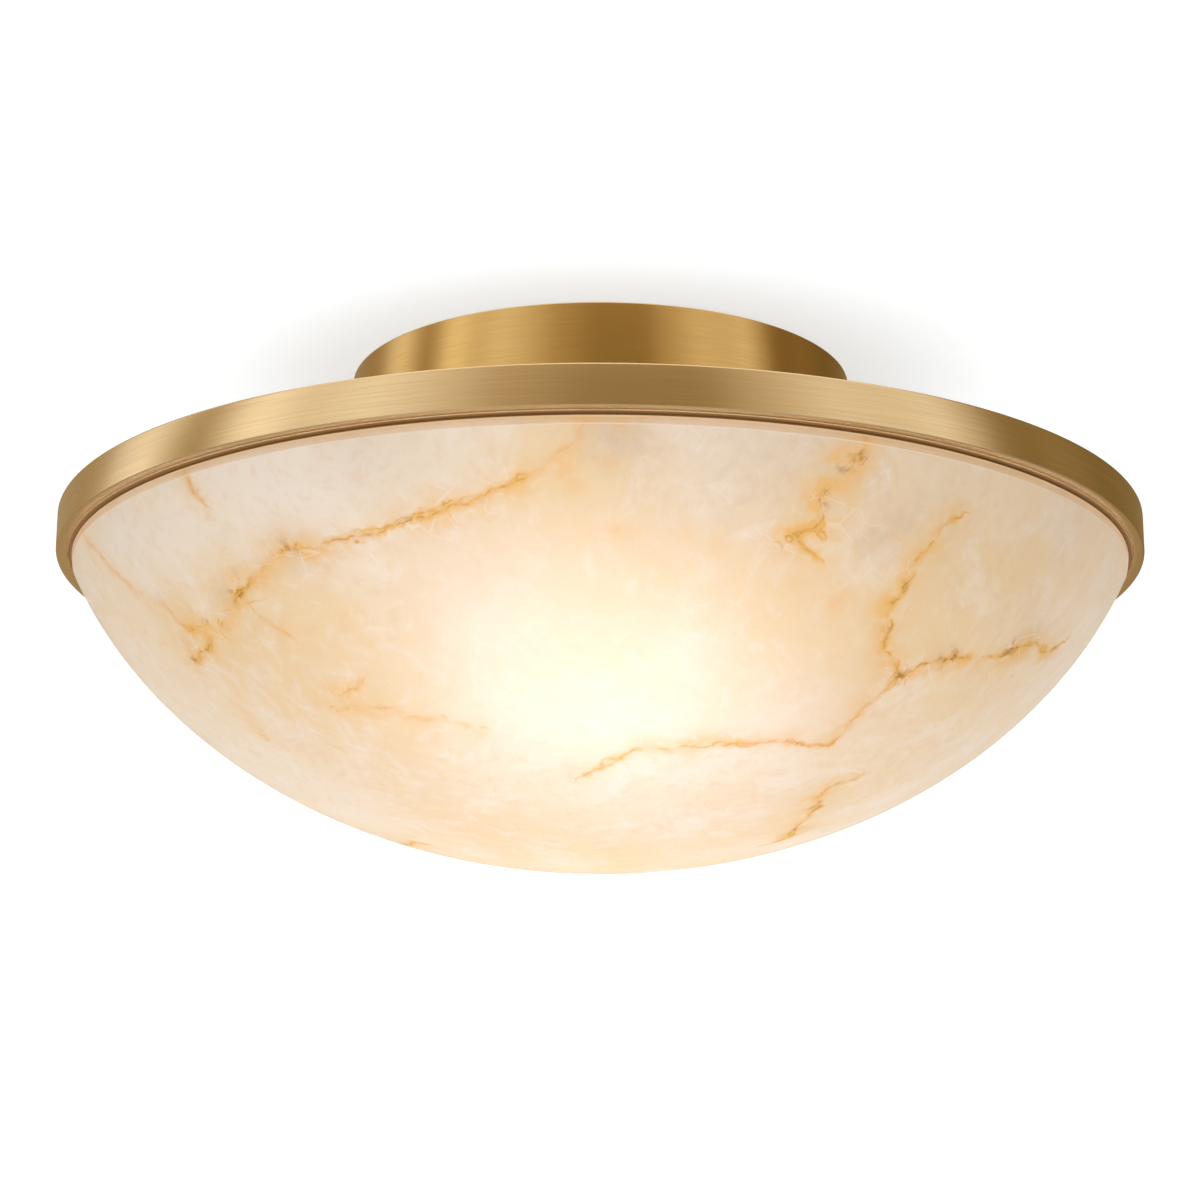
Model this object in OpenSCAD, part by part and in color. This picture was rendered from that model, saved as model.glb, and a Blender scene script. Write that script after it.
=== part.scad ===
// Flush ceiling light: a shallow alabaster bowl hung in a brass ring, under a brass drum canopy.
// The origin is the centre of the face that meets the ceiling. +Z is up, so the light lies below it.

/* [Rim ring] */
// Outer diameter of the brass ring round the bowl
ring_d = 457; // [420:1:600]
// Height of the ring's band
ring_h = 16; // [15:0.5:30]
// Wall of the band
ring_wall = 1.8; // [1.2:0.1:2.6]
// Width of the lip under the band, from the outer face inward
lip_w = 4.6; // [4:0.1:8]
// Thickness of the lip that carries the bowl
lip_t = 2.5; // [1.5:0.1:4]
// Radius on the band's two outer edges
ring_edge_r = 0.8; // [0.3:0.1:1.1]

/* [Alabaster bowl] */
// Depth of the bowl below the ring
bowl_drop = 123; // [90:1:170]
// Wall of the bowl
bowl_wall = 10; // [8.5:0.5:16]
// Radius of the belly over that of a plain sphere cap, where 1 is the sphere
belly_flatness = 1.09; // [1.03:0.01:1.3]
// Radius of the bowl's sides over that of its belly
side_ratio = 0.66; // [0.5:0.01:0.85]
// Clearance between the bowl and the ring
bowl_gap = 0.5; // [0.3:0.1:1]
// Thickness of the gasket on the lip
gasket_t = 1; // [0.5:0.1:2]
// Width of the shadow groove turned into the stone just under the ring
quirk_w = 3.5; // [1:0.1:5]
// Height of the shadow groove
quirk_h = 1.2; // [0.5:0.1:2]

/* [Canopy] */
// Outer diameter of the drum against the ceiling
canopy_d = 214; // [206:1:320]
// Height of the drum, from the pan to the ceiling
canopy_h = 69; // [50:1:110]
// Sheet of the drum
canopy_t = 1.2; // [0.8:0.1:2]
// Width of the drum's inturned foot, which the rivets hold
foot_w = 12; // [10:0.5:13]
// Width of the drum's hem at the ceiling
hem_w = 4; // [2:0.5:8]
// Number of rivets
rivet_count = 8; // [4:1:16]
// Diameter of a rivet
rivet_d = 4; // [3:0.5:5]

/* [Pan] */
// Sheet of the round pan that the canopy and the lamp are fixed to
pan_t = 1.2; // [0.8:0.1:2]
// Clearance between the pan's edge and the ring
pan_gap = 0.5; // [0.3:0.1:1.5]

/* [Ceiling strap] */
// Length of the strap
strap_l = 134; // [128:1:170]
// Width of the strap
strap_w = 22; // [16:1:30]
// Thickness of the strap
strap_t = 2; // [1.5:0.1:4]
// Distance between the centres of the two slots for the outlet box screws
slot_spacing = 79.4; // [70:0.1:88]
// Length of a slot, end to end
slot_l = 14.1; // [8:0.1:16]
// Width of a slot
slot_w = 4.6; // [3.5:0.1:5.5]
// Distance between the two hanging rods
rod_spacing = 114; // [108:1:120]
// Diameter of a hanging rod
rod_d = 4; // [3:0.5:5]

/* [Shade fixing] */
// Number of degrees between the first fixing and the +X axis
fixing_angle = 90; // [0:1:119]
// Diameter of the studs that carry the shade
stud_d = 4; // [3:0.5:6]
// Length of a stud above the pan
stud_rise = 14; // [12:0.5:20]
// Distance from the bowl's inner edge to a stud
stud_inset = 11; // [10:0.5:20]
// Diameter of a knurled nut
nut_d = 14; // [11:0.5:18]
// Height of a knurled nut
nut_h = 9; // [5:0.5:10]
// Number of grooves round a knurled nut
nut_grooves = 20; // [12:1:30]
// Thickness of a retaining clip
clip_t = 1.6; // [1:0.1:2.5]
// Width of a clip over the bowl's rim
clip_w = 46; // [44:1:60]
// Width of a clip's tongue
tongue_w = 14; // [10:1:24]
// Thickness of the pads between clip and stone
pad_t = 1; // [0.5:0.1:1.5]
// Diameter of a clip screw
clip_screw_d = 3; // [2.5:0.5:4]
// Width of the ring's boss for a clip screw
boss_w = 12; // [9:0.5:14]

/* [Lamp] */
// Diameter of the heat sink
sink_d = 100; // [96:1:104]
// Thickness of the heat sink
sink_t = 4; // [2:0.5:8]
// Diameter of the board with the diodes
board_d = 82; // [78:1:84]
// Thickness of the board
board_t = 1.6; // [0.8:0.1:2]
// Size of a diode, square
chip_w = 5; // [3:0.5:5.5]
// Height of a diode
chip_h = 1.2; // [0.6:0.1:2]
// Depth of the opal diffuser
diffuser_h = 16; // [12:1:30]
// Wall of the diffuser
diffuser_t = 1.6; // [1:0.1:2]

/* [Wiring] */
// Length of the driver's case
driver_l = 104; // [80:1:104]
// Width of the driver's case
driver_w = 40; // [30:1:40]
// Height of the driver's case
driver_h = 26; // [22:1:36]
// Width of the terminal block
block_w = 36; // [34:1:50]
// Depth of the terminal block, from lead side to lead side
block_d = 22; // [20:1:28]
// Height of the terminal block
block_h = 17; // [13:1:24]
// Diameter of the insulated leads
lead_d = 2.2; // [1.6:0.1:2.3]
// Diameter of the hole through the grommet
grommet_bore = 5.8; // [5.4:0.1:7]

/* [Hidden] */

// Colours
brass = [0.80, 0.68, 0.48];
brass_deep = [0.72, 0.56, 0.34];
stone = [0.93, 0.83, 0.70];
steel = [0.70, 0.71, 0.72];
white_paint = [0.92, 0.92, 0.90];
black_rubber = [0.12, 0.12, 0.12];

// Shared clearances and proportions
fn_big = 240;
fn_small = 48;
thread_gap = 0.05;
hole_gap = 0.3;
rest_gap = 0.3;
head_space = 0.4;
washer_t = 1;
over = 1;
function head_r(d) = 0.92 * d;
function head_h(d) = 0.6 * d;
function nut_across(d) = 1.75 * d;
function nut_thick(d) = 0.8 * d;
function washer_r(d) = 1.1 * d;

// Heights, all below the ceiling
pan_top = -canopy_h;
pan_bottom = pan_top - pan_t;
ring_top = pan_top;
ring_bottom = ring_top - ring_h;
lip_top = ring_bottom + lip_t;
flange_bottom = lip_top + gasket_t;
clip_top = pan_bottom - head_space - head_h(clip_screw_d);
clip_bottom = clip_top - clip_t;
rim_top = clip_bottom - pad_t;

// Ring and bowl radii
ring_r = ring_d / 2;
ring_in_r = ring_r - ring_wall;
lip_in_r = ring_r - lip_w;
flange_r = ring_in_r - bowl_gap;
mouth_r = lip_in_r - bowl_gap;
pan_r = ring_in_r - pan_gap;

// The bowl's outline is two arcs that meet smoothly: a belly about the axis and a side about side_c
belly_r = belly_flatness * (mouth_r ^ 2 + bowl_drop ^ 2) / (2 * bowl_drop);
side_r = side_ratio * belly_r;
belly_c = [0, ring_bottom - bowl_drop + belly_r];
mouth_pt = [mouth_r, ring_bottom];
reach = norm(mouth_pt - belly_c);
toward_mouth = (mouth_pt - belly_c) / reach;
along_reach = ((belly_r - side_r) ^ 2 - side_r ^ 2 + reach ^ 2) / (2 * reach);
off_reach = sqrt((belly_r - side_r) ^ 2 - along_reach ^ 2);
side_c = belly_c + along_reach * toward_mouth + off_reach * [toward_mouth.y, -toward_mouth.x];
join_dir = (side_c - belly_c) / (belly_r - side_r);
side_in_r = side_r - bowl_wall;
rim_in_r = side_c.x + sqrt(side_in_r ^ 2 - (rim_top - side_c.y) ^ 2);

// Shade fixings
fixing_angles = [for (k = [0:2]) fixing_angle + 120 * k];
screw_pos_r = ring_in_r - head_r(clip_screw_d) - hole_gap;
boss_wall = 1.2;
boss_in_r = screw_pos_r - clip_screw_d / 2 - boss_wall;
notch_in_r = boss_in_r - rest_gap;
notch_w = boss_w + 2 * rest_gap;
pad_l = 12;
pad_side = notch_w / 2 + pad_l / 2 + 2;
pad_margin = 0.8;
stud_pos_r = rim_in_r - stud_inset;
tongue_end = 8;
shoulder_d = 2 * stud_d;
groove_r = 0.7;
groove_out = 0.2;
collar_h = 2.5;
collar_in = 2.2;
washer_rim = 0.5;
stud_head_t = 1;

// Canopy and strap
canopy_r = canopy_d / 2;
rivet_pos_r = canopy_r - foot_w / 2;
rivet_head_h = 1.4;
rod_x = rod_spacing / 2;
rod_clear_r = washer_r(rod_d) + rest_gap;
rod_sink = 0.3;
cap_nut_h = 2 * rod_d;
earth_d = 4;
strap_earth_x = -18;
tongue_t = 0.8;
barrel_l = 5;
barrel_bore = 3;
screw_past = 2;

// Lamp
// The pan's earth screw and the terminal block stand just outside the heat sink's edge
earth_angle = 213;
earth_margin = 12;
pan_earth = (sink_d / 2 + earth_margin) * [cos(earth_angle), sin(earth_angle)];
block_margin = 8;
block_y = -(sink_d / 2 + block_margin);
board_room = 1.4;
sink_bottom = pan_bottom - sink_t;
board_bottom = sink_bottom - board_t;
diffuser_out_r = board_d / 2 + board_room + diffuser_t;
diffuser_flange_r = sink_d / 2 - 0.5;
diffuser_round = 8;
screw_wall = 0.5;
module_screw_d = 3;
plug_depth = 5;
module_screw_r = board_d / 2 - 7;
diffuser_screw_d = 2.5;
diffuser_screw_r = diffuser_out_r + head_r(diffuser_screw_d) + 0.45;
diffuser_ear_r = head_r(diffuser_screw_d) + 0.4;
connector = [8, 11, 4];
connector_r = (board_d - connector.x) / 2;
lead_angle = 161;
notch_lead_w = 9;

// Driver, block and leads
driver_y = 48;
ear_l = 8;
ear_w = 20;
ear_t = 2;
driver_screw_d = 4;
pole_step = 11;
entry_h = 7;
entry_depth = 7;
entry_r = lead_d / 2 + 0.4;
barrel_h = lead_d / 2 + 0.4;
lead_end_gap = 0.1;
entry_out = 0.5;
lead_run = 4;
barrel_out = 3.5;
barrel_run = 6;
well_r = 2.6;
terminal_screw_h = 3;
terminal_slot = 0.6;
well_inset = 4;
well_floor = 2;
block_recess = 3;
bore_gap = 0.1;
driver_lead_h = [8, 16];
driver_lead_y = [driver_y - 4, driver_y + 4];
grommet_r = 78;
grommet_hole_r = grommet_bore / 2 + 1.6;
grommet_flange_r = grommet_hole_r + 1.6;
grommet_lip = 1.2;
lead_pair = lead_d / 2 + 0.2;
plug_side = 2.3;

// A point at a radius and sideways offset from the line at an angle, with its height above the pan
function beside(angle, r, side, h) =
  [r * cos(angle) - side * sin(angle), r * sin(angle) + side * cos(angle), h];

// A point a little way off from another, seen from above, with its height above the pan
function near(c, x, y, h) = [c.x + x, c.y + y, h];

// A smooth curve through the points p, with n steps between neighbours
function spline_at(p, i, t) =
  let (a = p[max(i - 1, 0)], b = p[i], c = p[i + 1], d = p[min(i + 2, len(p) - 1)])
  0.5 * (2 * b + (c - a) * t + (2 * a - 5 * b + 4 * c - d) * t ^ 2 + (3 * b - a - 3 * c + d) * t ^ 3);
function spline(p, n) = concat(
  [for (i = [0:len(p) - 2]) for (k = [0:n - 1]) spline_at(p, i, k / n)],
  [p[len(p) - 1]]);

// Directions across the route at each point, carried along it so that the tube never twists
function unit(v) = v / norm(v);
function tangents(c) = [for (i = [0:len(c) - 1]) unit(c[min(i + 1, len(c) - 1)] - c[max(i - 1, 0)])];
function across(t, last) = unit(last - (last * t) * t);
function carried(ts, i) = i == 0
  ? across(ts[0], abs(ts[0].z) < 0.8 ? [0, 0, 1] : [1, 0, 0])
  : across(ts[i], carried(ts, i - 1));

module tube_along(route, r, sides = 8, steps = 3) {
  c = spline(route, steps);
  ts = tangents(c);
  rings = len(c);
  points = [for (i = [0:rings - 1])
    let (n = carried(ts, i), b = cross(ts[i], n))
    for (k = [0:sides - 1]) c[i] + r * (cos(360 * k / sides) * n + sin(360 * k / sides) * b)];
  walls = [for (i = [0:rings - 2]) for (k = [0:sides - 1])
    let (a = i * sides + k, b = i * sides + (k + 1) % sides)
    each [[a, a + sides, b], [b, a + sides, b + sides]]];
  caps = [
    [for (k = [0:sides - 1]) k],
    [for (k = [sides - 1:-1:0]) (rings - 1) * sides + k]];
  polyhedron(points, concat(walls, caps));
}

module at_fixings() {
  for (a = fixing_angles) rotate([0, 0, a]) children();
}

module at_rods() {
  for (x = [-rod_x, rod_x]) translate([x, 0, 0]) children();
}

// A ring between two radii, standing on z
module ring_plate(outer_r, inner_r, z, h, fn = fn_small) {
  difference() {
    translate([0, 0, z]) cylinder(h = h, r = outer_r, $fn = fn);
    translate([0, 0, z - over]) cylinder(h = h + 2 * over, r = inner_r, $fn = fn);
  }
}

// A pan head screw whose head sits on z = 0, with its shank along -Z
module pan_screw(d, length) {
  cap = 0.35 * head_h(d);
  difference() {
    union() {
      translate([0, 0, -length]) cylinder(h = length + over / 2, r = d / 2 - thread_gap, $fn = fn_small);
      cylinder(h = head_h(d) - cap, r = head_r(d), $fn = fn_small);
      translate([0, 0, head_h(d) - cap])
        cylinder(h = cap, r1 = head_r(d), r2 = 0.75 * head_r(d), $fn = fn_small);
    }
    for (a = [0, 90]) rotate([0, 0, a])
      translate([-0.55 * head_r(d), -0.1 * d, 0.4 * head_h(d)]) cube([1.1 * head_r(d), 0.2 * d, d]);
  }
}

module hex_nut(d) {
  difference() {
    cylinder(h = nut_thick(d), r = nut_across(d) / sqrt(3), $fn = 6);
    translate([0, 0, -over]) cylinder(h = nut_thick(d) + 2 * over, r = d / 2 + thread_gap, $fn = fn_small);
  }
}

// Ceiling strap and rods

module mounting_strap() {
  color(steel) difference() {
    union() {
      translate([-(strap_l - strap_w) / 2, -strap_w / 2, -strap_t])
        cube([strap_l - strap_w, strap_w, strap_t]);
      for (s = [-1, 1]) translate([s * (strap_l - strap_w) / 2, 0, -strap_t])
        cylinder(h = strap_t, r = strap_w / 2, $fn = fn_small);
    }
    for (s = [-1, 1]) translate([s * slot_spacing / 2, 0, -strap_t - over]) {
      for (e = [-1, 1]) translate([e * (slot_l - slot_w) / 2, 0, 0])
        cylinder(h = strap_t + 2 * over, r = slot_w / 2, $fn = fn_small);
      translate([-(slot_l - slot_w) / 2, -slot_w / 2, 0])
        cube([slot_l - slot_w, slot_w, strap_t + 2 * over]);
    }
    at_rods() translate([0, 0, -strap_t - over])
      cylinder(h = strap_t + 2 * over, r = rod_d / 2 + thread_gap, $fn = fn_small);
    translate([strap_earth_x, 0, -strap_t - over])
      cylinder(h = strap_t + 2 * over, r = earth_d / 2, $fn = fn_small);
  }
}

module hanging_rods() {
  bottom = pan_bottom - washer_t - 0.7 * cap_nut_h;
  color(steel) at_rods() translate([0, 0, bottom])
    cylinder(h = -rod_sink - bottom, r = rod_d / 2, $fn = fn_small);
}

module strap_nuts() {
  color(steel) at_rods() translate([0, 0, -strap_t - nut_thick(rod_d)]) hex_nut(rod_d);
}

module rod_washers() {
  color(steel) at_rods()
    ring_plate(washer_r(rod_d), rod_d / 2 + hole_gap, pan_bottom - washer_t, washer_t);
}

module cap_nuts() {
  hex_h = 0.5 * cap_nut_h;
  dome_r = 0.92 * nut_across(rod_d) / 2;
  seat = pan_bottom - washer_t;
  color(brass) at_rods() difference() {
    union() {
      translate([0, 0, seat - hex_h]) cylinder(h = hex_h, r = nut_across(rod_d) / sqrt(3), $fn = 6);
      translate([0, 0, seat - cap_nut_h + dome_r]) sphere(r = dome_r, $fn = fn_small);
      translate([0, 0, seat - cap_nut_h + dome_r])
        cylinder(h = cap_nut_h - dome_r - hex_h / 2, r = dome_r, $fn = fn_small);
    }
    translate([0, 0, seat - 0.7 * cap_nut_h])
      cylinder(h = cap_nut_h, r = rod_d / 2 + thread_gap, $fn = fn_small);
  }
}

// Canopy and pan

// The drum is a rolled band with its top edge turned in
module canopy() {
  color(brass_deep) rotate_extrude($fn = fn_big) {
    translate([canopy_r - canopy_t, pan_top]) square([canopy_t, canopy_h]);
    translate([canopy_r - hem_w, -canopy_t]) square([hem_w, canopy_t]);
  }
}

// The flat ring soldered inside the band's lower edge, which the rivets hold to the pan
module canopy_foot() {
  color(brass_deep) difference() {
    ring_plate(canopy_r - canopy_t - thread_gap, canopy_r - foot_w, pan_top, canopy_t, fn_big);
    for (k = [0:rivet_count - 1]) rotate([0, 0, 360 * (k + 0.5) / rivet_count])
      translate([rivet_pos_r, 0, pan_top - over])
        cylinder(h = canopy_t + 2 * over, r = rivet_d / 2 + thread_gap, $fn = fn_small);
  }
}

module canopy_rivets() {
  grip = canopy_t + pan_t;
  rivet_head_r = 0.85 * rivet_d;
  color(steel) for (k = [0:rivet_count - 1]) rotate([0, 0, 360 * (k + 0.5) / rivet_count])
    translate([rivet_pos_r, 0, pan_bottom]) {
      translate([0, 0, -rivet_head_h / 2])
        cylinder(h = grip + rivet_head_h, r = rivet_d / 2, $fn = fn_small);
      translate([0, 0, -rivet_head_h])
        cylinder(h = rivet_head_h, r1 = 0.6 * rivet_head_r, r2 = rivet_head_r, $fn = fn_small);
      translate([0, 0, grip])
        cylinder(h = rivet_head_h, r1 = rivet_head_r, r2 = 0.6 * rivet_head_r, $fn = fn_small);
    }
}

module pan() {
  color(white_paint) difference() {
    translate([0, 0, pan_bottom]) cylinder(h = pan_t, r = pan_r, $fn = fn_big);
    translate([0, 0, pan_bottom - over]) {
      for (k = [0:rivet_count - 1]) rotate([0, 0, 360 * (k + 0.5) / rivet_count])
        translate([rivet_pos_r, 0, 0])
          cylinder(h = pan_t + 2 * over, r = rivet_d / 2 + thread_gap, $fn = fn_small);
      at_rods() cylinder(h = pan_t + 2 * over, r = rod_d / 2 + hole_gap, $fn = fn_small);
      at_fixings() translate([stud_pos_r, 0, 0])
        cylinder(h = pan_t + 2 * over, r = stud_d / 2 + 2 * hole_gap, $fn = fn_small);
      translate(beside(lead_angle, grommet_r, 0, 0))
        cylinder(h = pan_t + 2 * over, r = grommet_hole_r, $fn = fn_small);
      for (a = [45:90:315]) rotate([0, 0, a]) translate([module_screw_r, 0, 0])
        cylinder(h = pan_t + 2 * over, r = module_screw_d / 2, $fn = fn_small);
      for (s = [-1, 1]) translate([s * (driver_l + ear_l) / 2, driver_y, 0])
        cylinder(h = pan_t + 2 * over, r = driver_screw_d / 2, $fn = fn_small);
      translate([0, block_y, 0])
        cylinder(h = pan_t + 2 * over, r = driver_screw_d / 2, $fn = fn_small);
      translate([pan_earth.x, pan_earth.y, 0])
        cylinder(h = pan_t + 2 * over, r = earth_d / 2, $fn = fn_small);
    }
  }
}

// Driver, terminal block and leads

module led_driver() {
  edge = 3;
  color(white_paint) translate([0, driver_y, pan_top]) difference() {
    union() {
      translate([-driver_l / 2, -driver_w / 2, 0]) cube([driver_l, driver_w, driver_h - edge]);
      translate([-driver_l / 2, -driver_w / 2 + edge, driver_h - edge - over])
        cube([driver_l, driver_w - 2 * edge, edge + over]);
      for (s = [-1, 1]) translate([-driver_l / 2, s * (driver_w / 2 - edge), driver_h - edge])
        rotate([0, 90, 0]) cylinder(h = driver_l, r = edge, $fn = fn_small);
      translate([-driver_l / 2 - ear_l, -ear_w / 2, 0]) cube([driver_l + 2 * ear_l, ear_w, ear_t]);
    }
    for (s = [-1, 1]) translate([s * (driver_l + ear_l) / 2, 0, -over])
      cylinder(h = ear_t + 2 * over, r = driver_screw_d / 2 + hole_gap, $fn = fn_small);
    for (s = [-1, 1], k = [0, 1])
      translate([s * driver_l / 2, driver_lead_y[k] - driver_y, driver_lead_h[s < 0 ? k : 0]])
        rotate([0, 90, 0]) cylinder(h = 2 * entry_depth, r = entry_r, center = true, $fn = fn_small);
  }
}

module driver_screws() {
  color(steel) for (s = [-1, 1]) translate([s * (driver_l + ear_l) / 2, driver_y, pan_top + ear_t])
    pan_screw(driver_screw_d, ear_t + pan_t + screw_past);
}

module terminal_block() {
  color(white_paint) translate([0, block_y, pan_top]) difference() {
    translate([-block_w / 2, -block_d / 2, 0]) cube([block_w, block_d, block_h]);
    for (p = [-1:1], s = [-1, 1]) {
      translate([p * pole_step, s * block_d / 2, entry_h]) rotate([90, 0, 0])
        cylinder(h = 2 * entry_depth, r = entry_r, center = true, $fn = fn_small);
      translate([p * pole_step, s * (block_d / 2 - well_inset), entry_h + entry_r + well_floor])
        cylinder(h = block_h, r = well_r, $fn = fn_small);
    }
    translate([0, 0, -over])
      cylinder(h = block_h + 2 * over, r = driver_screw_d / 2 + hole_gap, $fn = fn_small);
    translate([0, 0, block_h - block_recess])
      cylinder(h = block_h, r = head_r(driver_screw_d) + hole_gap, $fn = fn_small);
  }
}

module terminal_screws() {
  seat = pan_top + entry_h + entry_r + well_floor;
  color(brass) for (p = [-1:1], s = [-1, 1])
    translate([p * pole_step, block_y + s * (block_d / 2 - well_inset), seat])
      difference() {
        cylinder(h = terminal_screw_h, r = well_r - hole_gap, $fn = fn_small);
        translate([-well_r, -terminal_slot / 2, 0.7 * terminal_screw_h])
          cube([2 * well_r, terminal_slot, terminal_screw_h]);
      }
}

module block_screw() {
  color(steel) translate([0, block_y, pan_top + block_h - block_recess])
    pan_screw(driver_screw_d, block_h - block_recess + pan_t + screw_past);
}

// Ring tongue under an earth screw, with its barrel along +X
module ring_tongue() {
  barrel_x = washer_r(earth_d) + 1;
  difference() {
    union() {
      cylinder(h = tongue_t, r = washer_r(earth_d), $fn = fn_small);
      translate([0, -barrel_h, 0]) cube([barrel_x + 1, 2 * barrel_h, tongue_t]);
      translate([barrel_x, 0, barrel_h]) rotate([0, 90, 0])
        cylinder(h = barrel_l, r = barrel_h, $fn = fn_small);
    }
    translate([0, 0, -over]) cylinder(h = tongue_t + 2 * over, r = earth_d / 2 + hole_gap, $fn = fn_small);
    translate([barrel_x + barrel_l - barrel_bore, 0, barrel_h]) rotate([0, 90, 0])
      cylinder(h = barrel_l, r = lead_d / 2 + bore_gap, $fn = fn_small);
  }
}

module earth_screws() {
  color("darkgreen") {
    translate([pan_earth.x, pan_earth.y, pan_top + 2 * tongue_t])
      pan_screw(earth_d, 2 * tongue_t + pan_t + screw_past);
    translate([strap_earth_x, 0, -strap_t - tongue_t]) rotate([180, 0, 0])
      pan_screw(earth_d, tongue_t + strap_t - rod_sink);
  }
}

// The bottom of a tongue's barrel, or a point further out along it, for a tongue at c turned by angle
function barrel_pt(c, angle, h, out = 0) =
  let (r = washer_r(earth_d) + barrel_bore + out) [c.x + r * cos(angle), c.y + r * sin(angle), h];

module block_earth_lead() {
  tongue = 10;
  entry = [-pole_step, block_y + block_d / 2];
  color("darkgreen") translate([0, 0, pan_top]) {
    translate([pan_earth.x, pan_earth.y, 0]) rotate([0, 0, tongue]) ring_tongue();
    tube_along([
      barrel_pt(pan_earth, tongue, barrel_h, lead_end_gap),
      barrel_pt(pan_earth, tongue, barrel_h, barrel_out),
      barrel_pt(pan_earth, tongue, barrel_h, barrel_run),
      near(pan_earth, 22, 2, 5),
      near(entry, -7, 12, entry_h),
      near(entry, 0, lead_run, entry_h),
      near(entry, 0, entry_out, entry_h),
      near(entry, 0, lead_end_gap - entry_depth, entry_h)], lead_d / 2);
  }
}

module strap_earth_lead() {
  tongue = 190;
  strap_tongue = 250;
  strap_h = canopy_h - strap_t - barrel_h;
  color("darkgreen") translate([0, 0, pan_top]) {
    translate([pan_earth.x, pan_earth.y, tongue_t]) rotate([0, 0, tongue]) ring_tongue();
    translate([strap_earth_x, 0, canopy_h - strap_t]) rotate([0, 0, strap_tongue])
      mirror([0, 0, 1]) ring_tongue();
    tube_along([
      barrel_pt(pan_earth, tongue, barrel_h + tongue_t, lead_end_gap),
      barrel_pt(pan_earth, tongue, barrel_h + tongue_t, barrel_out),
      barrel_pt(pan_earth, tongue, barrel_h + tongue_t, barrel_run),
      near(pan_earth, -21, -3, 0.14 * canopy_h),
      near(pan_earth, -20, 0, 0.3 * canopy_h),
      near(pan_earth, -4, 6, 0.6 * canopy_h),
      near(pan_earth, 20, 8, 0.86 * canopy_h),
      barrel_pt([strap_earth_x, 0], strap_tongue, strap_h, barrel_run),
      barrel_pt([strap_earth_x, 0], strap_tongue, strap_h, barrel_out),
      barrel_pt([strap_earth_x, 0], strap_tongue, strap_h, lead_end_gap)], lead_d / 2);
  }
}

module mains_leads() {
  start = [for (y = driver_lead_y) [driver_l / 2, y]];
  entry = [for (p = [0, 1]) [p * pole_step, block_y + block_d / 2]];
  h = driver_lead_h[0];
  color("saddlebrown") translate([0, 0, pan_top]) {
    tube_along([
      near(start[0], lead_end_gap - entry_depth, 0, h),
      near(start[0], entry_out, 0, h),
      near(start[0], lead_run, 0, h),
      near(start[0], 12, -11, h - 1),
      near(start[0], 2, -28, 5),
      near(entry[0], 36, 47, 4),
      near(entry[0], 16, 27, 5),
      near(entry[0], 4, 13, entry_h),
      near(entry[0], 0, lead_run, entry_h),
      near(entry[0], 0, entry_out, entry_h),
      near(entry[0], 0, lead_end_gap - entry_depth, entry_h)], lead_d / 2);
    tube_along([
      near(start[1], lead_end_gap - entry_depth, 0, h),
      near(start[1], entry_out, 0, h),
      near(start[1], lead_run + 1, 0, h),
      near(start[1], 18, -12, h),
      near(start[1], 15, -28, h - 1),
      near(start[1], 0, -44, 5),
      near(entry[1], 25, 38, 4),
      near(entry[1], 11, 22, 5),
      near(entry[1], 3, 11, entry_h),
      near(entry[1], 0, lead_run, entry_h),
      near(entry[1], 0, entry_out, entry_h),
      near(entry[1], 0, lead_end_gap - entry_depth, entry_h)], lead_d / 2);
  }
}

module led_leads() {
  start = [for (y = driver_lead_y) [-driver_l / 2, y]];
  h = driver_lead_h;
  plug_h = -pan_t - sink_t - board_t - connector.z / 2;
  plug_in = connector_r + connector.x / 2 - plug_depth;
  color("firebrick") translate([0, 0, pan_top]) {
    tube_along([
      near(start[0], entry_depth - lead_end_gap, 0, h[0]),
      near(start[0], -entry_out, 0, h[0]),
      near(start[0], -lead_run, 0, h[0]),
      near(start[0], -14, -6, h[0]),
      beside(lead_angle, grommet_r, -lead_pair - 1, 6),
      beside(lead_angle, grommet_r, -lead_pair, 2),
      beside(lead_angle, grommet_r, -lead_pair, -pan_t - 2),
      beside(lead_angle, grommet_r - 5, -lead_pair - 0.3, plug_h),
      beside(lead_angle, grommet_r - 20, -plug_side, plug_h),
      beside(lead_angle, plug_in + 10, -plug_side, plug_h),
      beside(lead_angle, plug_in + 5.5, -plug_side, plug_h),
      beside(lead_angle, plug_in, -plug_side, plug_h)], lead_d / 2);
    tube_along([
      near(start[1], entry_depth - lead_end_gap, 0, h[1]),
      near(start[1], -entry_out, 0, h[1]),
      near(start[1], -lead_run, 0, h[1]),
      near(start[1], -14, -10, h[1] + 2),
      near(start[1], -21, -21, h[1]),
      beside(lead_angle, grommet_r, lead_pair, 9),
      beside(lead_angle, grommet_r, lead_pair, 2),
      beside(lead_angle, grommet_r, lead_pair, -pan_t - 2),
      beside(lead_angle, grommet_r - 5, lead_pair + 0.3, plug_h),
      beside(lead_angle, grommet_r - 20, plug_side, plug_h),
      beside(lead_angle, plug_in + 10, plug_side, plug_h),
      beside(lead_angle, plug_in + 5.5, plug_side, plug_h),
      beside(lead_angle, plug_in, plug_side, plug_h)], lead_d / 2);
  }
}

module grommet() {
  bore_r = grommet_bore / 2;
  color(black_rubber) translate(beside(lead_angle, grommet_r, 0, pan_bottom))
    rotate_extrude($fn = fn_small) {
      translate([bore_r, -grommet_lip]) square([grommet_hole_r - bore_r, pan_t + 2 * grommet_lip]);
      translate([bore_r, -grommet_lip]) square([grommet_flange_r - bore_r, grommet_lip]);
      translate([bore_r, pan_t]) square([grommet_flange_r - bore_r, grommet_lip]);
    }
}

// Lamp under the pan

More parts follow.
